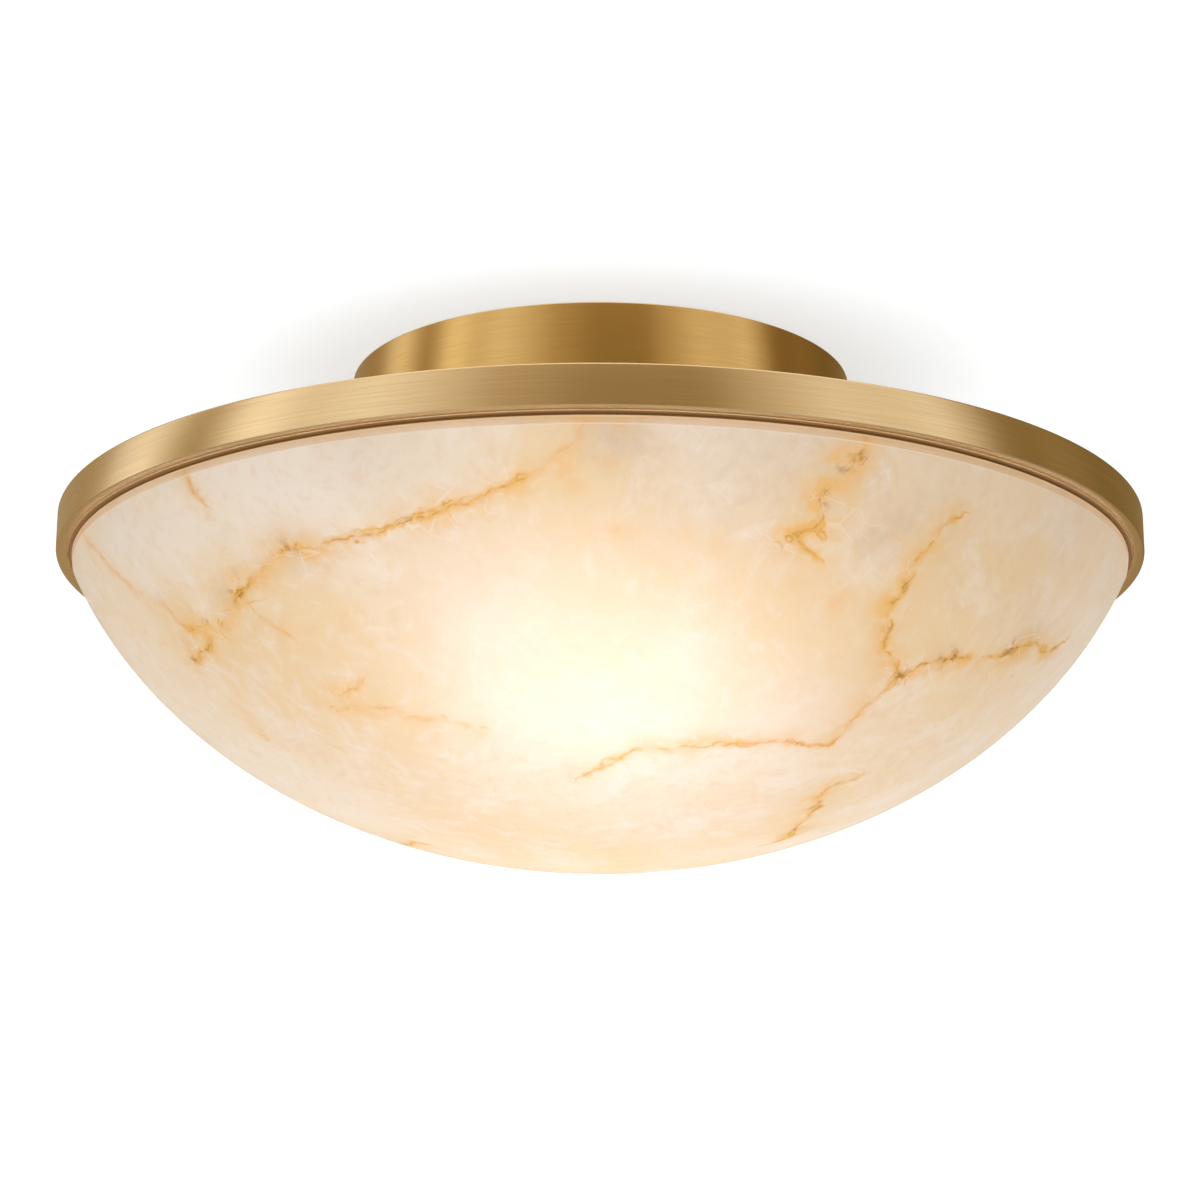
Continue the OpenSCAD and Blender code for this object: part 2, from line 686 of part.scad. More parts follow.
module heat_sink() {
  color(steel) difference() {
    union() {
      translate([0, 0, sink_bottom]) cylinder(h = sink_t, r = sink_d / 2, $fn = fn_big);
      at_fixings() translate([diffuser_screw_r, 0, sink_bottom])
        cylinder(h = sink_t, r = diffuser_ear_r + screw_wall, $fn = fn_small);
    }
    at_rods() translate([0, 0, sink_bottom - over])
      cylinder(h = sink_t + 2 * over, r = rod_clear_r, $fn = fn_small);
    for (a = [45:90:315]) rotate([0, 0, a]) translate([module_screw_r, 0, sink_bottom - over])
      cylinder(h = sink_t + 2 * over, r = module_screw_d / 2 + hole_gap, $fn = fn_small);
    at_fixings() translate([diffuser_screw_r, 0, sink_bottom - over])
      cylinder(h = sink_t + over - 0.5, r = diffuser_screw_d / 2, $fn = fn_small);
  }
}

module led_board() {
  color(white_paint) difference() {
    translate([0, 0, board_bottom]) cylinder(h = board_t, r = board_d / 2, $fn = fn_big);
    for (a = [45:90:315]) rotate([0, 0, a]) translate([module_screw_r, 0, board_bottom - over])
      cylinder(h = board_t + 2 * over, r = module_screw_d / 2 + hole_gap, $fn = fn_small);
  }
}

module led_chips() {
  inner_r = 12;
  outer_r = 24;
  color("khaki") {
    for (k = [0:5]) rotate([0, 0, 60 * k]) translate([inner_r, 0, board_bottom - chip_h / 2])
      cube([chip_w, chip_w, chip_h], center = true);
    for (k = [0:11]) rotate([0, 0, 30 * k]) translate([outer_r, 0, board_bottom - chip_h / 2])
      cube([chip_w, chip_w, chip_h], center = true);
  }
}

module led_connector() {
  color("ivory") rotate([0, 0, lead_angle])
    translate([connector_r, 0, board_bottom - connector.z / 2]) difference() {
      cube(connector, center = true);
      for (s = [-1, 1]) translate([connector.x / 2, s * plug_side, 0]) rotate([0, 90, 0])
        cylinder(h = 2 * plug_depth, r = lead_d / 2 + bore_gap, center = true, $fn = fn_small);
    }
}

module module_screws() {
  color(steel) for (a = [45:90:315]) rotate([0, 0, a]) translate([module_screw_r, 0, board_bottom])
    rotate([180, 0, 0]) pan_screw(module_screw_d, board_t + sink_t + pan_t + screw_past);
}

module diffuser() {
  wall_top = sink_bottom;
  bottom = wall_top - diffuser_h;
  color("white") difference() {
    union() {
      at_fixings() translate([diffuser_screw_r, 0, wall_top - diffuser_t])
        cylinder(h = diffuser_t, r = diffuser_ear_r, $fn = fn_small);
      rotate_extrude($fn = fn_big) {
        square_to(diffuser_out_r, bottom + diffuser_round, wall_top);
        square_to(diffuser_out_r - diffuser_round, bottom, wall_top);
        translate([diffuser_out_r - diffuser_round, bottom + diffuser_round]) circle(r = diffuser_round);
        square_to(diffuser_flange_r, wall_top - diffuser_t, wall_top);
      }
    }
    rotate_extrude($fn = fn_big) {
      square_to(diffuser_out_r - diffuser_t, bottom + diffuser_round, wall_top + over);
      square_to(diffuser_out_r - diffuser_round, bottom + diffuser_t, wall_top + over);
      translate([diffuser_out_r - diffuser_round, bottom + diffuser_round])
        circle(r = diffuser_round - diffuser_t);
    }
    at_fixings() translate([diffuser_screw_r, 0, wall_top - diffuser_t - over])
      cylinder(h = diffuser_t + 2 * over, r = diffuser_screw_d / 2 + 0.1, $fn = fn_small);
    at_rods() translate([0, 0, wall_top - diffuser_t - over])
      cylinder(h = diffuser_t + 2 * over, r = rod_clear_r, $fn = fn_small);
    rotate([0, 0, lead_angle])
      translate([board_d / 2, -notch_lead_w / 2, board_bottom - connector.z - 0.5])
        cube([sink_d, notch_lead_w, wall_top - board_bottom + connector.z + over]);
  }
}

// A rectangle from the axis to x = r, between two heights
module square_to(r, z_low, z_high) {
  translate([0, z_low]) square([r, z_high - z_low]);
}

module diffuser_screws() {
  color(steel) at_fixings() translate([diffuser_screw_r, 0, sink_bottom - diffuser_t])
    rotate([180, 0, 0]) pan_screw(diffuser_screw_d, diffuser_t + sink_t - 1);
}

// Knurled nuts over the pan

module nut_washers() {
  color(brass) at_fixings() translate([stud_pos_r, 0, 0])
    ring_plate(nut_d / 2 + washer_rim, stud_d / 2 + hole_gap, pan_top, washer_t);
}

module thumb_nut(k) {
  color(brass) rotate([0, 0, fixing_angles[k]]) translate([stud_pos_r, 0, pan_top + washer_t]) difference() {
    union() {
      cylinder(h = nut_h - collar_h, r = nut_d / 2, $fn = fn_small);
      cylinder(h = nut_h, r = nut_d / 2 - collar_in, $fn = fn_small);
    }
    translate([0, 0, -over]) cylinder(h = nut_h + 2 * over, r = stud_d / 2 + thread_gap, $fn = fn_small);
    for (g = [0:nut_grooves - 1]) rotate([0, 0, 360 * g / nut_grooves])
      translate([nut_d / 2 + groove_out, 0, -over])
        cylinder(h = nut_h + 2 * over, r = groove_r, $fn = 16);
  }
}

module thumb_nut_1() {
  thumb_nut(0);
}

module thumb_nut_2() {
  thumb_nut(1);
}

module thumb_nut_3() {
  thumb_nut(2);
}

// Ring, bowl and clips

// Cutter for a round outer edge at the origin. The solid lies towards -X, above for up = 1, below for -1
module edge_cut(r, up) {
  difference() {
    translate([-r, up > 0 ? -over : -r]) square([r + over, r + over]);
    translate([-r, up * r]) circle(r = r, $fn = fn_small);
  }
}

module rim_ring() {
  color(brass) difference() {
    union() {
      rotate_extrude($fn = fn_big) difference() {
        union() {
          translate([ring_in_r, ring_bottom]) square([ring_wall, ring_h]);
          translate([lip_in_r, ring_bottom]) square([lip_w, lip_t]);
        }
        translate([ring_r, ring_top]) edge_cut(ring_edge_r, -1);
        translate([ring_r, ring_bottom]) edge_cut(ring_edge_r, 1);
      }
      at_fixings() intersection() {
        translate([boss_in_r, -boss_w / 2, lip_top - lip_t / 2])
          cube([ring_r - boss_in_r, boss_w, clip_bottom - lip_top + lip_t / 2]);
        cylinder_between(ring_in_r + ring_wall / 2, lip_top, clip_bottom);
      }
    }
    at_fixings() translate([screw_pos_r, 0, lip_top])
      cylinder(h = ring_h, r = clip_screw_d / 2, $fn = fn_small);
  }
}

// A full cylinder about the axis between two heights
module cylinder_between(r, z_low, z_high) {
  translate([0, 0, z_low]) cylinder(h = z_high - z_low, r = r, $fn = fn_big);
}

module bowl_gasket() {
  color(black_rubber) difference() {
    ring_plate(flange_r, lip_in_r + rest_gap, lip_top, gasket_t, fn_big);
    at_fixings() translate([notch_in_r, -notch_w / 2, lip_top - over])
      cube([ring_r - notch_in_r, notch_w, gasket_t + 2 * over]);
  }
}

// Everything inside the bowl's two arcs, drawn in from its outer face by inset
module bowl_filled(inset) {
  far = 3 * belly_r;
  intersection() {
    translate(belly_c) circle(r = belly_r - inset, $fn = 2 * fn_big);
    translate(belly_c) polygon([[0, 0], far * join_dir, [0, -far]]);
  }
  translate(side_c) circle(r = side_r - inset, $fn = 2 * fn_big);
}

module bowl_outline() {
  difference() {
    intersection() {
      union() {
        intersection() {
          bowl_filled(0);
          translate([0, ring_bottom - 2 * bowl_drop]) square([ring_r, 2 * bowl_drop]);
        }
        translate([0, ring_bottom - over]) square([mouth_r, rim_top - ring_bottom + over]);
        translate([0, flange_bottom]) square([flange_r, rim_top - flange_bottom]);
      }
      translate([0, ring_bottom - 2 * bowl_drop]) square([ring_r, 2 * bowl_drop + ring_h]);
    }
    bowl_filled(bowl_wall);
    translate([-ring_r, ring_bottom - 2 * bowl_drop]) square([ring_r, 4 * bowl_drop]);
    translate([-ring_r, ring_bottom - over]) square([ring_r + side_c.x, ring_h]);
    translate([mouth_r - quirk_w, ring_bottom - quirk_h]) square([quirk_w + over, quirk_h]);
  }
}

module alabaster_bowl() {
  color(stone) difference() {
    rotate_extrude($fn = fn_big) bowl_outline();
    at_fixings() translate([notch_in_r, -notch_w / 2, lip_top - rest_gap])
      cube([ring_r - notch_in_r, notch_w, ring_h]);
  }
}

module retaining_clips() {
  color(steel) at_fixings() difference() {
    union() {
      intersection() {
        translate([rim_in_r, -clip_w / 2, clip_bottom]) cube([ring_r - rim_in_r, clip_w, clip_t]);
        cylinder_between(ring_in_r - rest_gap, clip_bottom, clip_top);
      }
      translate([stud_pos_r - tongue_end, -tongue_w / 2, clip_bottom])
        cube([rim_in_r - stud_pos_r + tongue_end + over, tongue_w, clip_t]);
    }
    translate([screw_pos_r, 0, clip_bottom - over])
      cylinder(h = clip_t + 2 * over, r = clip_screw_d / 2 + hole_gap, $fn = fn_small);
    translate([stud_pos_r, 0, clip_bottom - over])
      cylinder(h = clip_t + 2 * over, r = stud_d / 2 + thread_gap, $fn = fn_small);
  }
}

module clip_pads() {
  pad_in = rim_in_r + pad_margin;
  color(black_rubber) at_fixings() for (s = [-1, 1])
    intersection() {
      translate([pad_in, s * pad_side - pad_l / 2, rim_top]) cube([flange_r - pad_in, pad_l, pad_t]);
      cylinder_between(flange_r - pad_margin, rim_top, clip_bottom);
    }
}

module clip_screws() {
  color(steel) at_fixings() translate([screw_pos_r, 0, clip_top])
    pan_screw(clip_screw_d, clip_t + 0.9 * (clip_bottom - lip_top));
}

module shade_studs() {
  color(steel) at_fixings() translate([stud_pos_r, 0, 0]) {
    translate([0, 0, clip_bottom - stud_head_t])
      cylinder(h = stud_head_t, r = shoulder_d / 2, $fn = fn_small);
    translate([0, 0, clip_bottom - stud_head_t])
      cylinder(h = pan_top + stud_rise - clip_bottom + stud_head_t, r = stud_d / 2, $fn = fn_small);
    translate([0, 0, clip_top]) cylinder(h = pan_bottom - clip_top, r = shoulder_d / 2, $fn = fn_small);
  }
}

mounting_strap();
hanging_rods();
strap_nuts();
canopy();
canopy_foot();
canopy_rivets();
pan();
rod_washers();
cap_nuts();
led_driver();
driver_screws();
terminal_block();
terminal_screws();
block_screw();
earth_screws();
block_earth_lead();
strap_earth_lead();
mains_leads();
led_leads();
grommet();
heat_sink();
led_board();
led_chips();
led_connector();
module_screws();
diffuser();
diffuser_screws();
nut_washers();
thumb_nut_1();
thumb_nut_2();
thumb_nut_3();
rim_ring();
bowl_gasket();
alabaster_bowl();
retaining_clips();
clip_pads();
clip_screws();
shade_studs();
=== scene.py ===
import math

import bpy
import numpy as np
from mathutils import Matrix, Vector


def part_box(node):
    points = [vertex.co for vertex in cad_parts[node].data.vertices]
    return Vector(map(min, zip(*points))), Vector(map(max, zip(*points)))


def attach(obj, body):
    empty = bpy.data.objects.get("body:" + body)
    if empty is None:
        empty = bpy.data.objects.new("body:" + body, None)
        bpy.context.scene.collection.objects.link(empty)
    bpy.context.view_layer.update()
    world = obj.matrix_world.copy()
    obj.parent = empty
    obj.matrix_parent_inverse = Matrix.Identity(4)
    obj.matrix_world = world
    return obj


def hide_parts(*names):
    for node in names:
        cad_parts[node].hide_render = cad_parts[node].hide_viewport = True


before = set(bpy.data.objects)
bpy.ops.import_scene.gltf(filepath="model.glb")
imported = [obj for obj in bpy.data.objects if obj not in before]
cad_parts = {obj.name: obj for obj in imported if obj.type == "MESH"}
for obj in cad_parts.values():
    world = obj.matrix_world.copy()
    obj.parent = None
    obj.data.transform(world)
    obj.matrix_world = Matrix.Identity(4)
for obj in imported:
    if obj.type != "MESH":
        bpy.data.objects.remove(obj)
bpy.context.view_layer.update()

bl_info = {
    "name": "Alabaster Ceiling Light",
    "version": (1, 0, 0),
    "blender": (4, 5, 0),
    "location": "3D View > Sidebar > Ceiling Light",
    "description": "Dresses the ceiling light's frame in turned stone, brushed brass and its wiring",
    "category": "Object",
}

MM = 0.001


def rgb(red, green, blue):
    """A colour given as it looks on a screen, 0 to 255, as the linear colour that a shader takes."""
    def linear(part):
        part = part / 255
        return part / 12.92 if part <= 0.04045 else ((part + 0.055) / 1.055) ** 2.4
    return (linear(red), linear(green), linear(blue), 1.0)


# Sizes that the frame gives
RING_LOW, RING_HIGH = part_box("rim_ring")
BOWL_LOW, BOWL_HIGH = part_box("alabaster_bowl")
CANOPY_LOW, CANOPY_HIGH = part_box("canopy")
LAMP_LOW, LAMP_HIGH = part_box("diffuser")
RING_R = RING_HIGH.x
RING_BOTTOM = RING_LOW.z
RING_TOP = CANOPY_LOW.z
CANOPY_R = CANOPY_HIGH.x

# The bowl's outer face is half of an oblate ball: its half widths and the height of its middle
BOWL_A = 237.0 * MM
BOWL_MIDDLE_Z = -23.7 * MM
BOWL_B = BOWL_MIDDLE_Z - BOWL_LOW.z

# The three places where the shade hangs, in degrees, and the clearance round a boss in the stone's notch
FIXING_ANGLES = (90, 210, 330)
NOTCH_GAP = 0.3 * MM

# The photograph's camera, in pixels, the frame's metres, degrees and millimetres of sensor
PHOTO_SIDE = 1200
PHOTO_FOCAL = 2826.4
CAMERA_AT = Vector((0, -1.1632, -0.4046))
CAMERA_PITCH = 14.937
CAMERA_ROLL = 0.151
SENSOR = 36.0

# The bands of light round the room that the brass reflects: degrees from the camera's side, and light
BRIGHTEST_BAND = 1.25
STUDIO_BANDS = (
    (-180, 0.42), (-132, 0.42), (-124, 0.5), (-114, 0.98), (-106, 1.22), (-99, 0.85), (-93, 0.5),
    (-88, 0.37), (-83, 0.65), (-76, 1.25), (-70, 1.25), (-62, 0.9), (-46, 1.06), (-38, 0.9),
    (-29, 0.75), (-20, 0.54), (0, 0.35), (20, 0.36), (32, 0.62), (40, 0.78), (47, 0.92),
    (62, 0.88), (72, 1.05), (80, 0.72), (88, 0.3), (96, 0.26), (105, 0.32), (114, 0.3),
    (125, 0.23), (150, 0.25), (180, 0.42),
)

# The plain world that lights the scene, and the light from high above that the brass reflects
WORLD_TINT = (1.0, 0.99, 0.985, 1)
WORLD_LIGHT = 1.1
OVERHEAD_LIGHT = (1.0, 0.97, 0.9, 1)

# The two soft lamps: name, place, power in watts and width
SOFT_LAMPS = (
    ("key_light", (-1.6, -2.2, -1.6), 34.0, 1.6),
    ("fill_light", (1.8, -1.9, -1.5), 17.0, 1.8),
)
LAMPS_AIM = Vector((0, 0, -0.1))

# The ceiling and floor, in metres, their paint, and what lifts them toward white for the camera
WHITE = (1, 1, 1, 1)
CEILING_R, CEILING_Z = 9.0, 0.3 * MM
CEILING_PAINT, CEILING_TINT, CEILING_LIFT = (0.5, 0.5, 0.5, 1), (0.95, 0.98, 1.0, 1), 0.735
FLOOR_R, FLOOR_Z = 4.5, -2.4
FLOOR_PAINT, FLOOR_LIFT = (0.85, 0.84, 0.83, 1), 0.62

# From the light's axis: where the ceiling's painted soft shadow ends, its lit patch ends and the floor
# fades
SHADOW_FROM, SHADOW_TO, SHADOW_LIFT = 0.105, 0.2, 0.54
NEAR_FROM, NEAR_TO, NEAR_LIGHT = 0.22, 0.28, 0.7
FLOOR_FADE_FROM, FLOOR_FADE_TO = 2.2, 4.4

# How strongly the stone bends light, and the shares of it that scatter light through
STONE_IOR = 1.9
STONE_SOFT = 0.36
LINING_SOFT = 0.45

# The stone's colours
PALE_STONE, WARM_STONE = rgb(250, 248, 244), rgb(247, 225, 184)
MILKY_CLOUD, TAN_CLOUD = rgb(254, 250, 246), rgb(238, 212, 182)
PALE_STREAK, GREY_STONE_AND_SHADE = rgb(255, 252, 249), rgb(214, 196, 172)
AMBER_STAIN, CRYSTAL_FLASH = rgb(245, 198, 118), rgb(255, 253, 250)
VEIN_AMBER, VEIN_DARK = rgb(212, 152, 52), rgb(136, 66, 6)
VEIN_HALO, VEIN_KNOT = rgb(240, 186, 88), rgb(164, 92, 16)
# Painted light on the stone's turned edge: a painted reflection of the brass, a painted highlight on the
# arris and a painted gloss highlight
EDGE_PAINTED_BRASS_REFLECTION, EDGE_PAINTED_ARRIS_HIGHLIGHT, EDGE_PAINTED_GLOSS_HIGHLIGHT = rgb(230, 188, 134), rgb(255, 228, 182), rgb(255, 252, 248)
# A faint painted glow for the stone, which is no lamp, and the painted shade in the groove under the ring's
# lip
PAINTED_STONE_GLOW, GROOVE_PAINTED_SHADE = rgb(255, 222, 170), rgb(168, 122, 70)
LINING_PALE, LINING_WARM = rgb(249, 241, 231), rgb(245, 228, 206)

# The two strands of each vein: scale of the noise that weaves it, how far it strays, and its width
VEIN_STRANDS = ((70.0, 8 * MM, 0.8 * MM), (112.0, 13 * MM, 0.6 * MM))
VEIN_SHAKE = 2.8 * MM
VEIN_REACH = 7 * MM

# How wide the border of the clearer stone is
CLEAR_FADE = 6 * MM

# The dark streaks and the tarnish in brushed brass
BRASS_STREAK, BRASS_TARNISH = (0.25, 0.16, 0.06, 1), (0.5, 0.3, 0.12, 1)

# Points closer than this are made one, on a turned piece and along the bowl's seams
MERGE_GAP = 0.001 * MM
SEAM_GAP = 0.02 * MM

# Heights closer than this count as the same
LEVEL_GAP = 0.01 * MM

# Larger than any distance on the bowl, in metres
FAR = 1.0

# Slices round a turned piece, and bands from pole to pole of the ball that the bowl is cut from
TURN_STEPS = 288
BOWL_STEPS = 384
BOWL_BANDS = 240

# How far the bowl's rim, turned in one piece with its groove and flange, reaches below the groove
RIM_DEPTH = 4 * MM

# The stone's turned edge under the groove: how deep it is, how far it leans in, the shares of its
# depth at which its rows of faces end, and the gap to the row of faces below it
EDGE_DEPTH = 3 * MM
EDGE_LEAN = 1 * MM
EDGE_ROWS = (0.1, 0.5, 0.9, 1.0)
EDGE_CREASE = 0.3 * MM

# Rows of faces on the bowl's inner face between its rim and the seam
LINING_ROWS = 4

# The stone's veins, each with its strength and its route in the photograph's pixels
VEINS = {
    "left_rim": (0.5, ((183, 469), (195, 491), (202, 499))),
    "left_edge": (0.45, ((83, 532), (94, 548), (115, 571), (140, 593), (165, 605), (186, 625))),
    "left_knot": (0.9, ((192, 629), (207, 623), (218, 630), (207, 648), (195, 661), (186, 648))),
    "left_main": (1.0, ((218, 630), (230, 610), (236, 595), (251, 583), (263, 567), (272, 553),
                        (288, 548), (308, 546))),
    "left_upper": (0.75, ((308, 546), (342, 541), (376, 532), (403, 518), (445, 509), (476, 499),
                          (499, 488), (514, 480))),
    "left_high": (0.4, ((514, 480), (540, 465), (580, 440), (585, 412))),
    "left_spur": (0.4, ((265, 619), (292, 636))),
    "low_left": (0.5, ((359, 682), (336, 704), (383, 707))),
    "low_left_fine": (0.4, ((412, 716), (441, 718), (482, 729))),
    "low_left_thin": (0.4, ((245, 712), (265, 737))),
    "right_upper": (0.9, ((876, 435), (860, 459), (844, 469), (832, 478), (823, 488), (821, 503),
                          (823, 526), (806, 529), (791, 535))),
    "right_patch": (0.6, ((797, 541), (817, 558))),
    "right_middle": (0.9, ((955, 520), (941, 529), (932, 547), (920, 561), (911, 573), (905, 588),
                           (892, 602), (889, 608), (891, 629), (886, 649), (895, 661), (900, 676))),
    "right_branch": (1.0, ((900, 676), (923, 664), (949, 658), (964, 658), (999, 655), (1017, 646),
                           (1036, 643), (1049, 651), (1059, 645))),
    "low_main": (0.6, ((900, 676), (882, 693), (867, 705), (847, 726), (829, 746), (809, 746),
                       (788, 742), (744, 743), (717, 742), (700, 745), (667, 750), (641, 748),
                       (606, 763), (583, 777))),
    "low_right": (0.8, ((859, 777), (832, 786), (819, 798), (817, 809), (797, 828), (790, 836),
                        (755, 851))),
    "centre_fine": (0.3, ((598, 530), (629, 528))),
}

# Soft patches in the stone: the photograph's pixel, the radius in millimetres and the strength
AMBER_PATCHES = (
    (582, 409, 5, 0.9), (623, 426, 3, 0.6), (612, 460, 4, 0.6), (564, 467, 5, 0.6), (575, 486, 4, 0.5),
    (690, 538, 4, 0.5), (718, 547, 4, 0.5), (794, 581, 3, 0.4), (340, 613, 3, 0.4), (321, 569, 5, 0.4),
    (840, 602, 6, 0.6), (204, 640, 9, 0.8), (240, 592, 8, 0.6), (300, 548, 9, 0.4), (440, 508, 10, 0.4),
    (520, 478, 8, 0.4), (828, 500, 13, 0.7), (848, 462, 8, 0.6), (800, 532, 9, 0.6), (893, 610, 9, 0.6),
    (930, 550, 8, 0.4), (898, 672, 9, 0.5), (1020, 650, 9, 0.5), (940, 662, 7, 0.4),
    (345, 700, 10, 0.4), (818, 800, 8, 0.6), (796, 832, 8, 0.5), (700, 748, 9, 0.3), (850, 722, 9, 0.4),
)
WARM_PATCHES = (
    (1000, 600, 50, 0.5), (860, 500, 40, 0.6), (1060, 560, 30, 0.4), (960, 470, 30, 0.3),
    (300, 600, 45, 0.9), (215, 640, 34, 1.0), (420, 520, 22, 0.4), (560, 470, 30, 0.8),
    (320, 720, 45, 0.8), (700, 510, 36, 0.6), (800, 810, 40, 0.6), (880, 650, 34, 1.0),
    (900, 560, 30, 0.7), (950, 720, 30, 0.5), (600, 862, 48, 0.9), (460, 820, 36, 0.5),
    (780, 590, 24, 0.5),
)
PALE_PATCHES = (
    (250, 490, 34, 0.9), (350, 480, 30, 0.6), (130, 560, 22, 0.6), (480, 440, 26, 0.4),
    (740, 450, 34, 0.6), (340, 560, 18, 0.4), (930, 500, 22, 0.6), (1070, 530, 20, 0.5),
    (180, 540, 24, 0.5),
)
# Greyer stone, and in the broad patches high on the bowl near the ring, painted shade
GREY_AND_SHADE_PATCHES = (
    (800, 450, 30, 0.5), (700, 480, 30, 0.3), (400, 450, 30, 0.25), (950, 500, 32, 0.4),
    (1050, 550, 28, 0.25), (616, 432, 13, 1.0), (876, 541, 9, 0.6), (350, 440, 18, 0.3),
    (294, 552, 9, 0.6), (228, 598, 7, 0.5), (1028, 640, 8, 0.8), (912, 520, 8, 0.4), (944, 655, 6, 0.5),
)
DARK_PATCHES = (
    (236, 595, 3, 1.0), (288, 548, 3, 0.7), (207, 623, 2, 0.6), (195, 661, 2, 0.6), (236, 572, 2, 0.3),
    (821, 503, 3, 0.7), (860, 459, 3, 0.8), (844, 469, 2, 0.6), (905, 588, 2, 0.6), (889, 629, 3, 0.5),
    (900, 676, 3, 1.0), (949, 658, 4, 1.0), (925, 663, 3, 0.7), (1012, 648, 4, 1.0),
    (1052, 650, 3, 0.5), (818, 806, 3, 0.8), (795, 830, 3, 0.5), (403, 518, 2, 0.4), (476, 499, 2, 0.4),
)

# The clearer stone in front of the lamp: its edge in the photograph's pixels
CLEAR_EDGE = (
    (403, 556), (396, 595), (407, 625), (388, 656), (396, 687), (411, 710), (482, 729), (540, 755),
    (606, 763), (667, 750), (744, 743), (829, 746), (882, 693), (886, 649), (889, 608), (840, 575),
    (760, 545), (660, 522), (560, 520), (470, 532),
)


def put(graph, kind, inputs=None, **settings):
    """A new node, with its settings, and its inputs set to values or linked to sockets."""
    made = graph.nodes.new("ShaderNode" + kind)
    for name, value in settings.items():
        setattr(made, name, value)
    for key, value in (inputs or {}).items():
        if isinstance(value, bpy.types.NodeSocket):
            graph.links.new(value, made.inputs[key])
        else:
            made.inputs[key].default_value = value
    return made


def maths(graph, operation, a, b=0.0, clamp=False):
    """One step of arithmetic on numbers."""
    return put(graph, "Math", {0: a, 1: b}, operation=operation, use_clamp=clamp).outputs[0]


def times(graph, first, *others):
    """Several numbers multiplied."""
    for other in others:
        first = maths(graph, "MULTIPLY", first, other)
    return first


def vector_maths(graph, operation, a, b=(0.0, 0.0, 0.0)):
    """One step of arithmetic on vectors."""
    return put(graph, "VectorMath", {0: a, 1: b}, operation=operation).outputs[0]


def ease(graph, value, low, high, first=0.0, last=1.0):
    """Goes from first to last, smoothly, as the value goes from low to high."""
    inputs = {"Value": value, "From Min": low, "From Max": high, "To Min": first, "To Max": last}
    return put(graph, "MapRange", inputs, interpolation_type="SMOOTHSTEP").outputs[0]


def mix(graph, share, first, second):
    """Two colours mixed."""
    inputs = {0: share, 6: first, 7: second}
    return put(graph, "Mix", inputs, data_type="RGBA", blend_type="MIX").outputs[2]


def blend(graph, share, first, second):
    """Two shaders mixed."""
    return put(graph, "MixShader", {0: share, 1: first, 2: second}).outputs[0]


def grain(graph, at, scale, detail=3.0, rough=0.5):
    """Soft noise from 0 to 1."""
    inputs = {"Vector": at, "Scale": scale, "Detail": detail, "Roughness": rough}
    return put(graph, "TexNoise", inputs).outputs["Fac"]


def swing(graph, noise, size):
    """Noise from 0 to 1 made a number that swings either side of nothing."""
    return times(graph, maths(graph, "SUBTRACT", noise, 0.5), size)


def places(graph):
    """Where each point of a piece lies, in the frame's metres."""
    return put(graph, "TexCoord").outputs["Object"]


def height_of(graph, at):
    return put(graph, "SeparateXYZ", {0: at}).outputs[2]


def length_of(graph, at):
    return put(graph, "VectorMath", {0: at}, operation="LENGTH").outputs["Value"]


def bump(graph, height, depth, strength):
    return put(graph, "Bump", {"Height": height, "Distance": depth, "Strength": strength}).outputs[0]


def new_material(name):
    """An empty node material, its graph and its output."""
    material = bpy.data.materials.new(name)
    material.use_nodes = True
    graph = material.node_tree
    graph.nodes.clear()
    output = put(graph, "OutputMaterial")
    return material, graph, output


def finish_material(material, graph, output, shader):
    """Links the shader to the material's output."""
    graph.links.new(shader, output.inputs["Surface"])
    return material


def brushed_metal(name, colour, rough):
    """Sheet metal brushed round the light's axis: fine streaks that run level, round each turned face."""
    material, graph, output = new_material(name)
    at = places(graph)
    flat = vector_maths(graph, "MULTIPLY", at, (1, 1, 0))
    round_way = vector_maths(graph, "NORMALIZE", flat)
    along = vector_maths(graph, "MULTIPLY", round_way, (3.0, 3.0, 0))
    up = put(graph, "CombineXYZ", {2: times(graph, height_of(graph, at), 1500.0)}).outputs[0]
    streaks = grain(graph, vector_maths(graph, "ADD", along, up), 1.4, 5.0, 0.65)
    cloud = grain(graph, at, 14.0, 2.0)
    shade = mix(graph, ease(graph, streaks, 0.3, 0.7, 0.0, 0.16), colour, BRASS_STREAK)
    shade = mix(graph, ease(graph, cloud, 0.35, 0.75, 0.0, 0.05), shade, BRASS_TARNISH)
    shader = put(graph, "BsdfPrincipled", {
        "Base Color": shade,
        "Metallic": 1.0,
        "Roughness": maths(graph, "ADD", rough - 0.05, times(graph, streaks, 0.1)),
        "Anisotropic": 0.8,
        "Anisotropic Rotation": 0.25,
        "Tangent": vector_maths(graph, "CROSS_PRODUCT", (0, 0, 1), round_way),
        "Normal": bump(graph, streaks, 0.01 * MM, 0.35),
    })
    return finish_material(material, graph, output, shader.outputs[0])


def plain_metal(name, colour, rough, scale=220.0):
    """Plated or bare metal with a faint mottle."""
    material, graph, output = new_material(name)
    at = places(graph)
    mottle = grain(graph, at, scale, 4.0, 0.6)
    dark = tuple(0.72 * part for part in colour[:3]) + (1.0,)
    shader = put(graph, "BsdfPrincipled", {
        "Base Color": mix(graph, ease(graph, mottle, 0.35, 0.7), colour, dark),
        "Metallic": 1.0,
        "Roughness": ease(graph, mottle, 0.3, 0.7, rough - 0.05, rough + 0.08),
        "Normal": bump(graph, mottle, 0.02 * MM, 0.4),
    })
    return finish_material(material, graph, output, shader.outputs[0])


